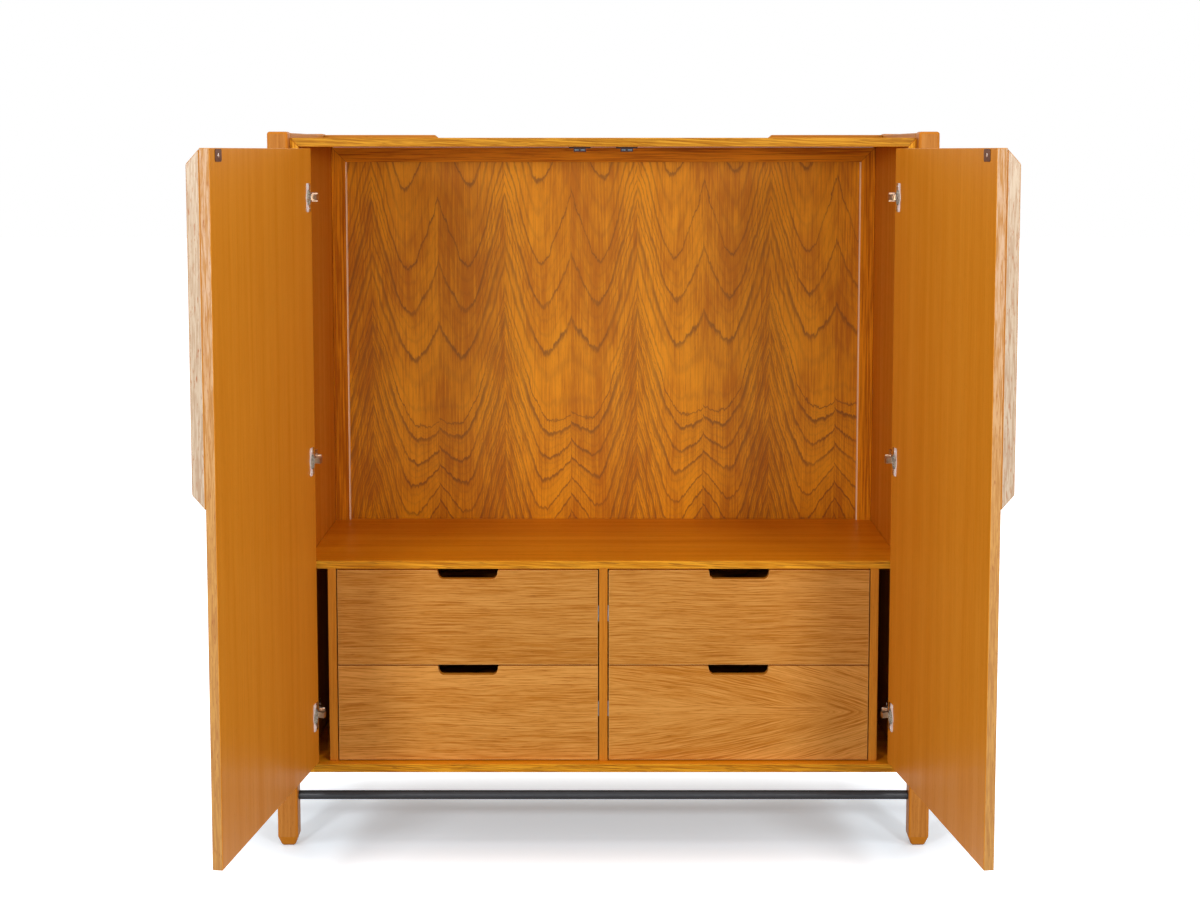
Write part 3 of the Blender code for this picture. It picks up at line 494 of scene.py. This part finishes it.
def oak_outside(inner):
    """A layer with upright oak veneer on the faces that look away from the cabinet's middle,
    over what the layer inner makes.
    """
    def layer(g, colour, share):
        x, y, z = g.place()
        normal = g.node("SeparateXYZ", 0, (), i0=g.node("TexCoord", "Normal"))
        outside = g.math("GREATER_THAN", g.math("MULTIPLY", normal, x), 0.3)
        point = g.vector(g.math("ABSOLUTE", x), y, z)
        streaks = g.noise(point, (360, 360, 6.0), 3.0, 0.58)
        ripples = g.noise(point, (70, 70, 2.0), 3.0, 0.62)
        mixed = g.math("MULTIPLY_ADD", g.math("SUBTRACT", ripples, 0.5), 0.5, streaks)
        oak = g.mix(g.step(mixed, 0.24, 0.76), OUTER_PALE, OUTER_DEEP)
        figure = g.noise(point, (5.5, 5.5, 0.45), 2.0, 0.4)
        wander = g.noise(point, (60, 60, 9.0), 2.0)
        field = g.math("MULTIPLY_ADD", wander, 0.5, g.math("MULTIPLY", figure, 30.0))
        rings = g.math("FRACT", field)
        ring = g.math("MAXIMUM", g.step(rings, 0.0, 0.30, 1.0, 0.0), g.step(rings, 0.92, 1.0))
        vein = g.math("MULTIPLY", ring, g.step(streaks, 0.30, 0.62, 0.12, 0.45))
        oak = g.mix(vein, oak, FRONT_VEIN)
        return inner(g, g.mix(outside, colour, oak), share)
    return layer


def steel_beyond(mask_of):
    """A layer that turns wood into zinc-plated steel where mask_of says so."""
    def layer(g, colour, share):
        mask = mask_of(g)
        g.put(g.shader.inputs["Metallic"], mask)
        return g.mix(mask, colour, SLIDE_STEEL)
    return layer


# Metal and plastic

SLIDE_STEEL = srgb(150, 150, 152)
# The pale white of the hinge flanges' painted highlight
PAINTED_HIGHLIGHT_WHITE = srgb(250, 248, 252)


def metal(name, colour, rough, streak=(1, 1, 1), metallic=1.0, grain=0.12, edge_highlight=None,
          painted_highlight=None):
    """Metal with fine rubbed streaks and a painted highlight on its edges; where its mask says so
    it is matt and pale white, also a painted highlight.
    """
    g = Graph(name)
    point = g.vector(*g.place())
    fine = g.noise(point, streak, 3.0, 0.6)
    dull = g.noise(point, (60, 60, 60), 3.0, 0.6)
    shade = g.mix(g.step(dull, 0.3, 0.75), colour, tuple(0.82 * c for c in colour[:3]) + (1.0,))
    # Painted highlight: the edges are made paler.
    if edge_highlight:
        shade = g.mix(g.math("MULTIPLY", g.arris(0.0006), 0.8), shade, edge_highlight)
    g.bump(fine, grain, 0.0001)
    roughness = g.step(g.math("ADD", fine, dull), 0.7, 1.3, rough - 0.06, rough + 0.1)
    # Painted highlight: where its mask says so the metal turns matt and pale white.
    if painted_highlight:
        highlight_share = painted_highlight(g)
        shade = g.mix(highlight_share, shade, PAINTED_HIGHLIGHT_WHITE)
        metallic = g.blend(highlight_share, metallic, 0.2)
        roughness = g.blend(highlight_share, roughness, 0.5)
    return g.finish(Base_Color=shade, Metallic=metallic, Roughness=roughness)


def outer_flange(g):
    """1 where the hinge flanges get their painted highlight: the half further from the door's
    axis.
    """
    x, y, z = g.place()
    point = g.vector(g.math("ABSOLUTE", x), y, z)
    to_door = pivot_matrix(RIGHT, DOOR_OPEN).inverted()
    along, deep = [g.math("ADD", g.node("VectorMath", "Value", {"operation": "DOT_PRODUCT"},
                                        i0=point, i1=tuple(to_door[row][:3])), to_door[row][3])
                   for row in (0, 1)]
    outer = g.step(g.math("MULTIPLY", along, RIGHT), HINGE_X["cup"], HINGE_X["cup"] + 0.0015)
    return g.math("MULTIPLY", outer, g.step(deep, DOOR_THICK + 0.0002, DOOR_THICK + 0.0007))


def plastic(name, colour, rough):
    """Moulded plastic with a fine spark-eroded texture."""
    g = Graph(name)
    point = g.vector(*g.place())
    skin = g.noise(point, (2600, 2600, 2600), 2.0)
    cloud = g.noise(point, (90, 90, 90), 2.0)
    shade = g.mix(cloud, colour, tuple(1.35 * c for c in colour[:3]) + (1.0,))
    g.bump(skin, 0.15, 0.0001)
    return g.finish(Base_Color=shade, Specular_IOR_Level=0.2,
                    Roughness=g.step(cloud, 0.3, 0.7, rough - 0.04, rough + 0.06))


# Drawers

def front_veneer(name, point, light):
    """A drawer front's oak: level streaks 2 to 4 mm apart, with broader wandering bands.

    point(g) places the grain, and light scales the whole front's brightness: below 1 it is
    painted shade, which the upper fronts get.
    """
    g = Graph(name)
    spot, level, heart = point(g)

    def layer(*settings):
        main = g.noise(spot, *settings)
        return g.blend(heart, main, g.noise(level, *settings)) if level else main

    streaks = layer((380, 380, 10.0), 2.0, 0.58)
    ripples = layer((125, 125, 6.5), 3.0, 0.62)
    bands = layer((24, 24, 1.2), 3.0, 0.55)
    dashes = layer((850, 850, 45.0), 2.0, 0.5)
    mixed = g.math("MULTIPLY_ADD", g.math("SUBTRACT", ripples, 0.5), 0.35, streaks)
    mixed = g.math("MULTIPLY_ADD", g.math("SUBTRACT", bands, 0.5), 0.45, mixed)
    mixed = g.math("MULTIPLY_ADD", g.math("SUBTRACT", dashes, 0.5), 0.30, mixed)
    colour = g.mix(g.step(mixed, 0.26, 0.74), FRONT_PALE, FRONT_DEEP)
    vein = g.math("MULTIPLY", g.step(streaks, 0.52, 0.62), g.step(ripples, 0.44, 0.60))
    colour = g.mix(g.math("MULTIPLY", vein, 0.46), colour, FRONT_VEIN)
    pore = g.math("MULTIPLY", g.step(dashes, 0.58, 0.70), g.step(streaks, 0.38, 0.60))
    colour = g.mix(g.math("MULTIPLY", pore, 0.34), colour, PORE)
    # Painted shade: a light below 1 darkens the whole front.
    colour = g.mix(1.0, colour, (light, light, light, 1.0), "MULTIPLY")
    # Painted highlight: faces that look up are made paler, where light falls on them.
    upward = g.node("SeparateXYZ", "Z", (), i0=g.node("TexCoord", "Normal"))
    colour = g.mix(g.step(upward, 0.10, 0.60, 0.0, 0.85), colour, FRONT_TOP_HIGHLIGHT)
    # Painted highlight: the fronts' edges are made paler.
    colour = g.mix(g.math("MULTIPLY", g.arris(0.0020), 0.8), colour, FRONT_EDGE_HIGHLIGHT)
    height = g.math("SUBTRACT", g.math("MULTIPLY", streaks, 0.6), pore)
    g.bump(height, 0.30, 0.0004)
    roughness = g.blend(pore, g.step(bands, 0.3, 0.7, 0.38, 0.46), 0.6)
    return g.finish(Base_Color=colour, Roughness=roughness, Specular_IOR_Level=0.2,
                    Specular_Tint=LACQUER)


def box_wood(steel_mask):
    """Drawer box boards: dark, partly their own tone and partly painted shade inside the drawers,
    with wandering growth lines on the crosswise boards, and steel where steel_mask says so.
    """
    g = Graph("box_wood")
    point = by_side("YX")(g)
    bands, streaks, dashes = grain_layers(g, point)
    mixed = g.math("MULTIPLY_ADD", g.math("SUBTRACT", streaks, 0.5), 0.9, bands)
    colour = g.mix(g.step(mixed, 0.20, 0.80), BOX_PALE, BOX_DEEP)
    x, y, z = g.place()
    drift = g.math("MULTIPLY_ADD", y, 3.0, x)
    sway = g.noise(g.vector(drift, 0.0, z), (4.0, 1, 3.0), 2.0, 0.5)
    jag = g.noise(g.vector(drift, 0.0, z), (40, 1, 90), 3.0, 0.6)
    field = g.math("MULTIPLY_ADD", z, 34.0, g.math("MULTIPLY_ADD", sway, 9.0,
                                                  g.math("MULTIPLY", jag, 0.5)))
    rings = g.math("FRACT", field)
    growth = g.math("MAXIMUM", g.step(rings, 0.0, 0.22, 1.0, 0.0), g.step(rings, 0.95, 1.0))
    crosswise = g.node("SeparateXYZ", "Y", (), i0=g.node("TexCoord", "Normal"))
    crosswise = g.math("GREATER_THAN", g.math("ABSOLUTE", crosswise), 0.7)
    colour = g.mix(g.math("MULTIPLY", g.math("MULTIPLY", growth, crosswise), 0.6), colour,
                   BOX_LINE)
    # Painted highlight: faces that look up are made paler, where light falls on them.
    upward = g.node("SeparateXYZ", "Z", (), i0=g.node("TexCoord", "Normal"))
    colour = g.mix(g.step(upward, 0.5, 0.9, 0.0, 0.8), colour, BOX_TOP_HIGHLIGHT)
    mask = steel_mask(g)
    colour = g.mix(mask, colour, SLIDE_STEEL)
    g.bump(streaks, 0.2, 0.0003)
    return g.finish(Base_Color=colour, Metallic=mask,
                    Roughness=g.step(bands, 0.3, 0.7, 0.42, 0.5),
                    Specular_IOR_Level=0.25, Specular_Tint=LACQUER)


def make_materials():
    """One material for each finish, by name."""
    low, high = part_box("back_frame")
    opening = (high.x - FRAME_WIDTH, (low.z + high.z) / 2, (high.z - low.z) / 2 - FRAME_WIDTH)
    inner_rail_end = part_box("upper_right_drawer_inner_slide_rail")[1].x
    outer_rail_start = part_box("upper_right_drawer_outer_slide_rail")[0].x
    housing_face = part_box("right_housing_side")[0].x

    def past_divider(g):
        """The fixed slide rails on the divider."""
        x = g.math("ABSOLUTE", g.place()[0])
        return g.math("GREATER_THAN", x, DIVIDER_HALF)

    def on_housing(g):
        """The fixed slide rails on the housing sides."""
        x = g.math("ABSOLUTE", g.place()[0])
        return g.math("LESS_THAN", x, housing_face + HOUSING_RAIL)

    def outside_box(g):
        """The moving slide rails beside a drawer's box."""
        x = g.math("ABSOLUTE", g.place()[0])
        low = g.math("LESS_THAN", x, inner_rail_end + BOX_MARGIN)
        return g.math("MAXIMUM", low, g.math("GREATER_THAN", x, outer_rail_start - BOX_MARGIN))

    made = {
        "post": wood("post_oak", "Z", srgb(206, 138, 66), srgb(176, 106, 42), 0.6, 1.2,
                     extra=painted_corner_shading(srgb(208, 124, 26))),
        "side_rail": wood("rail_oak", "Y", srgb(206, 138, 52), srgb(176, 106, 30), 0.4, 1.1,
                          arris=EDGE_HIGHLIGHT_OAK),
        "gallery": wood("gallery_oak", "X", srgb(200, 132, 50), srgb(170, 102, 28), 0.4, 1.1,
                        arris=EDGE_HIGHLIGHT_OAK),
        "level": wood("level_veneer", "X", srgb(234, 152, 22), srgb(206, 118, 8), 0.30, 1.0,
                      arris=EDGE_HIGHLIGHT_OAK, rough=0.34,
                      extra=edge_band(EDGE_PALE, EDGE_DEEP, lines=0.55)),
        "top": wood("top_veneer", "X", srgb(214, 138, 28), srgb(188, 108, 10), 0.30, 1.0,
                    arris=EDGE_HIGHLIGHT_OAK, rough=0.44,
                    extra=edge_band(srgb(214, 152, 46), srgb(176, 112, 24), lines=0.50)),
        "upright": wood("upright_veneer", "Z", HONEY, HONEY_DEEP, 0.3, 0.9, arris=EDGE_HIGHLIGHT_OAK,
                        extra=oak_outside(edge_band(EDGE_PALE, EDGE_DEEP, axis="Z"))),
        "frame": wood("frame_oak", "Z", srgb(228, 140, 20), srgb(170, 86, 6), 0.4, 1.5,
                      point=frame_point(opening), lines=1.5,
                      extra=mitres_and_painted_highlight(opening)),
        "door": wood("door_veneer", "Z", srgb(226, 148, 44), srgb(206, 125, 24), 0.12, 0.7,
                     gloss=0.12,
                     # The door's edge band: its last colour is a painted sheen near the top.
                     extra=oak_outside(edge_band(srgb(206, 152, 86), srgb(186, 130, 74), 0.8, "Z",
                                                 srgb(210, 172, 140)))),
        # The pull's pale cream front band is a painted highlight, the lamps' glare on it.
        "pull": wood("pull_oak", "Z", srgb(214, 150, 66), srgb(190, 118, 40), 0.6, 1.2,
                     rough=0.38, coat=0.28,
                     extra=edge_band(srgb(202, 180, 156), srgb(180, 150, 124), 0.95, "Z")),
        # The upper fronts' light of 0.90 and 0.92 is painted shade.
        "front_ul": front_veneer("front_veneer_a", wavy_point(0.9, 0.016), 0.90),
        "front_ur": front_veneer("front_veneer_b", wavy_point(2.3, 0.024), 0.92),
        "front_ll": front_veneer("front_veneer_c", wavy_point(4.1, 0.030), 1.0),
        "front_lr": front_veneer("front_veneer_d",
                                 cathedral_point(x_tip=0.600, z_middle=0.292, slope=0.34,
                                                 slope_ease=0.23, flatness=0.0015), 1.0),
        "box": box_wood(outside_box),
        "housing": wood("housing_veneer", "Z", HOUSING_PALE, HOUSING_DEEP, 0.35, 1.0,
                        extra=steel_beyond(on_housing)),
        "divider": wood("divider_veneer", "Z", HOUSING_PALE, HOUSING_DEEP, 0.35, 1.0,
                        extra=steel_beyond(past_divider)),
        "back": back_veneer(),
        "nickel": metal("nickel", srgb(226, 222, 214), 0.24, (900, 900, 60),
                        edge_highlight=srgb(246, 244, 240)),
        "cup": metal("cup_nickel", srgb(226, 222, 214), 0.24, (900, 900, 60),
                     edge_highlight=srgb(246, 244, 240), painted_highlight=outer_flange),
        "zinc": metal("zinc_steel", srgb(168, 170, 174), 0.34, (1200, 40, 1200)),
        "arm": metal("arm_steel", srgb(184, 152, 124), 0.34, (900, 60, 900),
                     edge_highlight=srgb(240, 238, 234)),
        "black": metal("black_steel", srgb(38, 38, 42), 0.42, (2200, 2200, 2200), 0.3, 0.2),
        "plastic": plastic("brown_plastic", srgb(46, 26, 22), 0.5),
        "pole": metal("pole_steel", srgb(92, 98, 104), 0.5, (1200, 40, 1200)),
        "strike": metal("bronzed_steel", srgb(98, 62, 44), 0.36, (900, 900, 900), 0.7),
    }
    return made


def dress_nodes(made):
    """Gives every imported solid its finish."""
    finish_of = {
        "back_panel": "back", "back_frame": "frame", "deck_panel": "level",
        "top_panel": "top", "bottom_panel": "level", "centre_divider": "divider",
        "front_stretcher_rod": "black", "rear_stretcher_rod": "black",
        "upper_left_drawer_front": "front_ul", "upper_right_drawer_front": "front_ur",
        "lower_left_drawer_front": "front_ll", "lower_right_drawer_front": "front_lr",
    }
    endings = {
        "_post": "post", "_top_rail": "side_rail", "_gallery_return": "gallery",
        "_side_panel": "upright", "_housing_side": "housing", "_door_panel": "door",
        "_pull_bar": "pull", "_drawer_box": "box", "_slide_rail": "zinc",
        "_hinge_cup": "cup", "_hinge_arm": "arm", "_hinge_link": "arm",
        "_magnetic_catch": "plastic",
    }
    for name, item in NODES.items():
        finish = finish_of.get(name)
        if not finish:
            finish = next(value for end, value in endings.items() if name.endswith(end))
        item.data.materials.clear()
        item.data.materials.append(made[finish])


# Small fittings

SHARP_ABOVE = math.radians(32)
SCREW_RINGS = (1.0, 0.985, 0.9, 0.72, 0.5)
SCREW_DOME = 0.9
RECESS_SIZE = (1.05, 0.24, 1.2)
RECESS_RISE = 1.1


def mesh_from(name, bm):
    mesh = bpy.data.meshes.new(name)
    bm.to_mesh(mesh)
    bm.free()
    return mesh


def add_piece(name, mesh, material, body, matrix):
    """A fitting that rides on a body. Fittings of one kind share a mesh."""
    item = bpy.data.objects.new(name, mesh)
    bpy.context.scene.collection.objects.link(item)
    if not mesh.materials:
        mesh.materials.append(material)
    mesh.shade_smooth()
    mesh.set_sharp_from_angle(angle=SHARP_ABOVE)
    item.matrix_world = matrix
    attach(item, body)
    return item


def screw_mesh(name, radius, height, steps=28):
    """A domed screw head, up local Z, with a cross recess."""
    bm = bmesh.new()
    rings = []
    highest = math.sqrt(1 - (SCREW_RINGS[-1] * SCREW_DOME) ** 2)
    for share in SCREW_RINGS:
        rise = height * math.sqrt(1 - (share * SCREW_DOME) ** 2) / highest
        level = 0.0 if share == 1.0 else rise
        rings.append([bm.verts.new((share * radius * math.cos(t), share * radius * math.sin(t),
                                    level))
                      for t in (2 * math.pi * k / steps for k in range(steps))])
    for low, high in zip(rings, rings[1:]):
        for k in range(steps):
            after = (k + 1) % steps
            bm.faces.new((low[k], low[after], high[after], high[k]))
    bm.faces.new(rings[-1])
    bm.faces.new(tuple(reversed(rings[0])))
    head = bpy.data.objects.new(name, mesh_from(name, bm))
    slots = bmesh.new()
    for turn in (0, math.pi / 2):
        made = bmesh.ops.create_cube(slots, size=1.0)["verts"]
        size = (radius * RECESS_SIZE[0], radius * RECESS_SIZE[1], height * RECESS_SIZE[2])
        bmesh.ops.scale(slots, vec=size, verts=made)
        bmesh.ops.rotate(slots, matrix=Matrix.Rotation(turn, 3, "Z"), verts=made)
        bmesh.ops.translate(slots, vec=(0, 0, height * RECESS_RISE), verts=made)
    cutter = bpy.data.objects.new(name + "_cut", mesh_from(name + "_cut", slots))
    for item in (head, cutter):
        bpy.context.scene.collection.objects.link(item)
    cut = head.modifiers.new("recess", "BOOLEAN")
    cut.object = cutter
    cut.solver = "EXACT"
    cut.use_self = True
    bpy.context.view_layer.update()
    graph = bpy.context.evaluated_depsgraph_get()
    whole = bpy.data.meshes.new_from_object(head.evaluated_get(graph))
    whole.name = name
    for item in (head, cutter):
        bpy.data.objects.remove(item, do_unlink=True)
    return whole


def dome_mesh(name, radius, height, steps=20, rings=4):
    """A low rivet head up local Z."""
    bm = bmesh.new()
    bmesh.ops.create_uvsphere(bm, u_segments=steps, v_segments=2 * rings, radius=radius)
    bmesh.ops.scale(bm, vec=(1, 1, height / radius), verts=bm.verts)
    below = [v for v in bm.verts if v.co.z < -1e-7]
    bmesh.ops.delete(bm, geom=below, context="VERTS")
    rim = [e for e in bm.edges if e.is_boundary]
    bmesh.ops.holes_fill(bm, edges=rim)
    return mesh_from(name, bm)


def plate_mesh(name, size, ease):
    """A thin plate with rounded corners and eased edges, centred on its origin."""
    bm = bmesh.new()
    bmesh.ops.create_cube(bm, size=1.0)
    bmesh.ops.scale(bm, vec=size, verts=bm.verts)
    thin = min(range(3), key=lambda k: size[k])
    corners = [e for e in bm.edges
               if abs((e.verts[0].co - e.verts[1].co)[thin]) > size[thin] / 2]
    bmesh.ops.bevel(bm, geom=corners, offset=ease * 4, segments=4, affect="EDGES")
    rims = [e for e in bm.edges if abs((e.verts[0].co - e.verts[1].co)[thin]) < 1e-7
            and e.calc_face_angle(0) > 1]
    bmesh.ops.bevel(bm, geom=rims, offset=ease, segments=2, affect="EDGES")
    return mesh_from(name, bm)


def facing(direction):
    """Turns local +Z to a direction."""
    return Vector(direction).to_track_quat("Z", "Y").to_matrix().to_4x4()


def pivot_matrix(hand, angle=0.0):
    """The frame on a door's axis: x towards the middle for the left, y to the back."""
    place = Matrix.Translation((-hand * PIVOT.x, PIVOT.y, 0.0))
    return place @ Matrix.Rotation(-hand * angle, 4, "Z")


def middle_of(node):
    low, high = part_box(node)
    return (low + high) / 2


def add_hinge_fittings(made):
    """Each hinge's screws in the flange, the mounting plate and the arm, and its rivets."""
    flange_screw = screw_mesh("flange_screw", *SCREWS["flange"])
    plate_screw = screw_mesh("plate_screw", *SCREWS["plate"])
    arm_screw = screw_mesh("arm_screw", *SCREWS["arm"])
    rivet = dome_mesh("rivet", *RIVET)
    for side, hand in SIDES.items():
        shut, open_door = pivot_matrix(hand), pivot_matrix(hand, DOOR_OPEN)
        for place in PLACES:
            name = f"{side}_{place}_hinge"
            z = middle_of(name + "_cup").z
            for sign, end in ((1, "top"), (-1, "bottom")):
                at = Matrix.Translation((hand * HINGE_X["cup"], FLANGE_FACE,
                                         z + sign * FLANGE_SCREWS))
                add_piece(f"{name}_{end}_flange_screw", flange_screw, made["nickel"],
                          f"{side}_door", open_door @ at @ facing((0, 1, 0)))
                at = Matrix.Translation((hand * HINGE_X["plate"], PLATE_SCREWS_BACK,
                                         z + sign * PLATE_SCREWS))
                add_piece(f"{name}_{end}_plate_screw", plate_screw, made["nickel"],
                          "cabinet", shut @ at @ facing((hand, 0, 0)))
                for number, (radius, angle) in enumerate(RIVET_AT, 1):
                    at = Matrix.Translation((hand * radius * math.cos(angle),
                                             radius * math.sin(angle), z + sign * CHEEK))
                    add_piece(f"{name}_{end}_rivet_{number}", rivet, made["nickel"], "cabinet",
                              shut @ at @ facing((0, 0, sign)))
            for number, back in enumerate(ARM_SCREWS_BACK, 1):
                at = Matrix.Translation((hand * HINGE_X["arm"], back, z))
                add_piece(f"{name}_arm_screw_{number}", arm_screw, made["nickel"], "cabinet",
                          shut @ at @ facing((hand, 0, 0)))


def add_strikes_and_poles(made):
    """A strike plate with its screw on each door, and two poles in each magnetic catch."""
    plate = plate_mesh("strike_plate", STRIKE, STRIKE_EASE)
    screw = screw_mesh("strike_screw", *SCREWS["strike"])
    pole = plate_mesh("catch_pole", POLE_SIZE, POLE_EASE)
    door_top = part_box("left_door_panel")[1].z
    reach = PIVOT.x - DOOR_GAP
    for side, hand in SIDES.items():
        open_door = pivot_matrix(hand, DOOR_OPEN)
        x = hand * (reach - STRIKE_FROM_EDGE[side])
        z = door_top - STRIKE_BELOW_TOP - STRIKE[2] / 2
        at = Matrix.Translation((x, DOOR_THICK + STRIKE[1] / 2, z))
        add_piece(f"{side}_strike_plate", plate, made["strike"], f"{side}_door",
                  open_door @ at)
        at = Matrix.Translation((x, DOOR_THICK + STRIKE[1], z))
        add_piece(f"{side}_strike_screw", screw, made["nickel"], f"{side}_door",
                  open_door @ at @ facing((0, 1, 0)))
        low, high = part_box(f"{side}_magnetic_catch")
        for sign, end in ((-1, "left"), (1, "right")):
            place = ((low.x + high.x) / 2 + sign * POLE_SPREAD, low.y - POLE_SIZE[1] / 2,
                     low.z + POLE_RISE)
            add_piece(f"{side}_catch_{end}_pole", pole, made["pole"], "cabinet",
                      Matrix.Translation(place))


# Light, floor and camera

WHITE = (1.0, 1.0, 1.0, 1.0)
FLOOR_HALF = 30.0
FLOOR_CELLS = 8
FLOOR_PALE = (0.80, 0.90, 0.99, 1.0)
FLOOR_GLOW = 0.26
FLOOR_BOUNCE = 0.22
# The painted shadow band near the cabinet, where the floor's glow drops
SHADOW_MIDDLE = 0.15
SHADOW_STRAIGHT = 0.64
SHADOW_EASE = (0.34, 0.42)
SHADOW_REACH = (0.30, 1.05)
WORLD_LIGHT = 0.34

# Lamps: name, place, target, size, watts and colour. Paired ones stand on both sides.
PAIRED_LAMPS = (
    ("key", (1.80, -3.4, 1.75), (0.0, 0.3, 1.0), (0.45, 0.45), 54, WHITE),
    ("side", (3.4, -1.6, 2.0), (0.0, 0.2, 0.9), (1.6, 1.6), 22, WHITE),
    ("rear", (2.6, 3.2, 2.3), (0.0, 0.3, 0.8), (1.6, 1.6), 24, WHITE),
)
MIDDLE_LAMPS = (
    ("top", (0.0, -0.4, 4.2), (0.0, 0.2, 0.8), (2.6, 2.0), 28, WHITE),
    ("glow", (0.0, -4.3, 0.66), (0.0, 0.5, 1.1), (0.8, 0.8), 19, (0.80, 0.95, 1.0, 1.0)),
)


def seen_directly(g):
    """1 for rays that show the background: straight, reflected or through glass."""
    path = g.node("LightPath", "Is Camera Ray").node
    seen = g.math("MAXIMUM", path.outputs["Is Camera Ray"], path.outputs["Is Glossy Ray"])
    return g.math("MAXIMUM", seen, path.outputs["Is Transmission Ray"])


def add_floor():
    """A pale floor that is plain white further off, with a painted shadow band near the cabinet
    where its glow drops and the lamps' shadow stays.
    """
    g = Graph("studio_floor", Roughness=0.9)
    g.shader.inputs["Specular IOR Level"].default_value = 0.0
    x, y, z = g.place()
    grain = g.noise(g.vector(x, y, z), (3, 3, 3), 2.0)
    seen = seen_directly(g)
    pale = g.mix(grain, FLOOR_PALE, tuple(0.98 * c for c in FLOOR_PALE[:3]) + (1.0,))
    colour = g.mix(seen, (FLOOR_BOUNCE, FLOOR_BOUNCE, FLOOR_BOUNCE, 1.0), pale)
    # Painted shadow band: near the cabinet the glow drops to FLOOR_GLOW.
    past = g.math("MAXIMUM", g.math("SUBTRACT", g.math("ABSOLUTE", x), SHADOW_STRAIGHT), 0.0)
    off_x = g.math("DIVIDE", past, SHADOW_EASE[0])
    off_y = g.math("DIVIDE", g.math("SUBTRACT", y, SHADOW_MIDDLE), SHADOW_EASE[1])
    off = g.node("VectorMath", "Value", {"operation": "LENGTH"}, i0=g.vector(off_x, off_y, 0.0))
    glow = g.step(off, *SHADOW_REACH, FLOOR_GLOW, 1.0)
    g.finish(Base_Color=colour, Emission_Color=WHITE,
             Emission_Strength=g.math("MULTIPLY", seen, glow))
    bm = bmesh.new()
    bmesh.ops.create_grid(bm, x_segments=FLOOR_CELLS, y_segments=FLOOR_CELLS, size=FLOOR_HALF)
    floor = bpy.data.objects.new("studio_floor", mesh_from("studio_floor", bm))
    floor.data.materials.append(g.material)
    bpy.context.scene.collection.objects.link(floor)


def add_world():
    """Soft light all round, and plain white wherever the background itself is seen."""
    world = bpy.data.worlds.new("studio")
    bpy.context.scene.world = world
    world.use_nodes = True
    tree = world.node_tree
    light = tree.nodes["Background"]
    light.inputs["Color"].default_value = WHITE
    path = tree.nodes.new("ShaderNodeLightPath")
    seen = path.outputs["Is Camera Ray"]
    for kind in ("Is Glossy Ray", "Is Transmission Ray"):
        either = tree.nodes.new("ShaderNodeMath")
        either.operation = "MAXIMUM"
        tree.links.new(seen, either.inputs[0])
        tree.links.new(path.outputs[kind], either.inputs[1])
        seen = either.outputs[0]
    strength = tree.nodes.new("ShaderNodeMapRange")
    strength.inputs["To Min"].default_value = WORLD_LIGHT
    strength.inputs["To Max"].default_value = 1.0
    tree.links.new(seen, strength.inputs["Value"])
    tree.links.new(strength.outputs[0], light.inputs["Strength"])


def add_lamp(name, place, target, size, power, colour):
    lamp = bpy.data.lights.new(name, "AREA")
    lamp.shape = "RECTANGLE"
    lamp.size, lamp.size_y = size
    lamp.energy = power
    lamp.color = colour[:3]
    item = bpy.data.objects.new(name, lamp)
    item.location = place
    item.rotation_euler = (Vector(target) - Vector(place)).to_track_quat("-Z", "Y").to_euler()
    bpy.context.scene.collection.objects.link(item)


def add_lamps():
    for hand in (LEFT, RIGHT):
        for name, (x, y, z), *rest in PAIRED_LAMPS:
            add_lamp(name, (hand * x, y, z), *rest)
    for lamp in MIDDLE_LAMPS:
        add_lamp(*lamp)


def add_camera():
    camera = bpy.data.cameras.new("photo_camera")
    camera.sensor_fit = "HORIZONTAL"
    camera.sensor_width = SENSOR
    camera.lens = FOCAL_PIXELS * SENSOR / PHOTO_WIDTH
    camera.shift_x = SHIFT_X
    camera.shift_y = SHIFT_Y
    item = bpy.data.objects.new("photo_camera", camera)
    item.location = CAMERA_AT
    item.rotation_euler = (math.pi / 2 - CAMERA_DOWN, 0.0, 0.0)
    bpy.context.scene.collection.objects.link(item)
    bpy.context.scene.camera = item


add_camera()
finishes = make_materials()
dress_nodes(finishes)
add_hinge_fittings(finishes)
add_strikes_and_poles(finishes)
add_floor()
add_world()
add_lamps()
bpy.context.scene.view_settings.view_transform = "Standard"
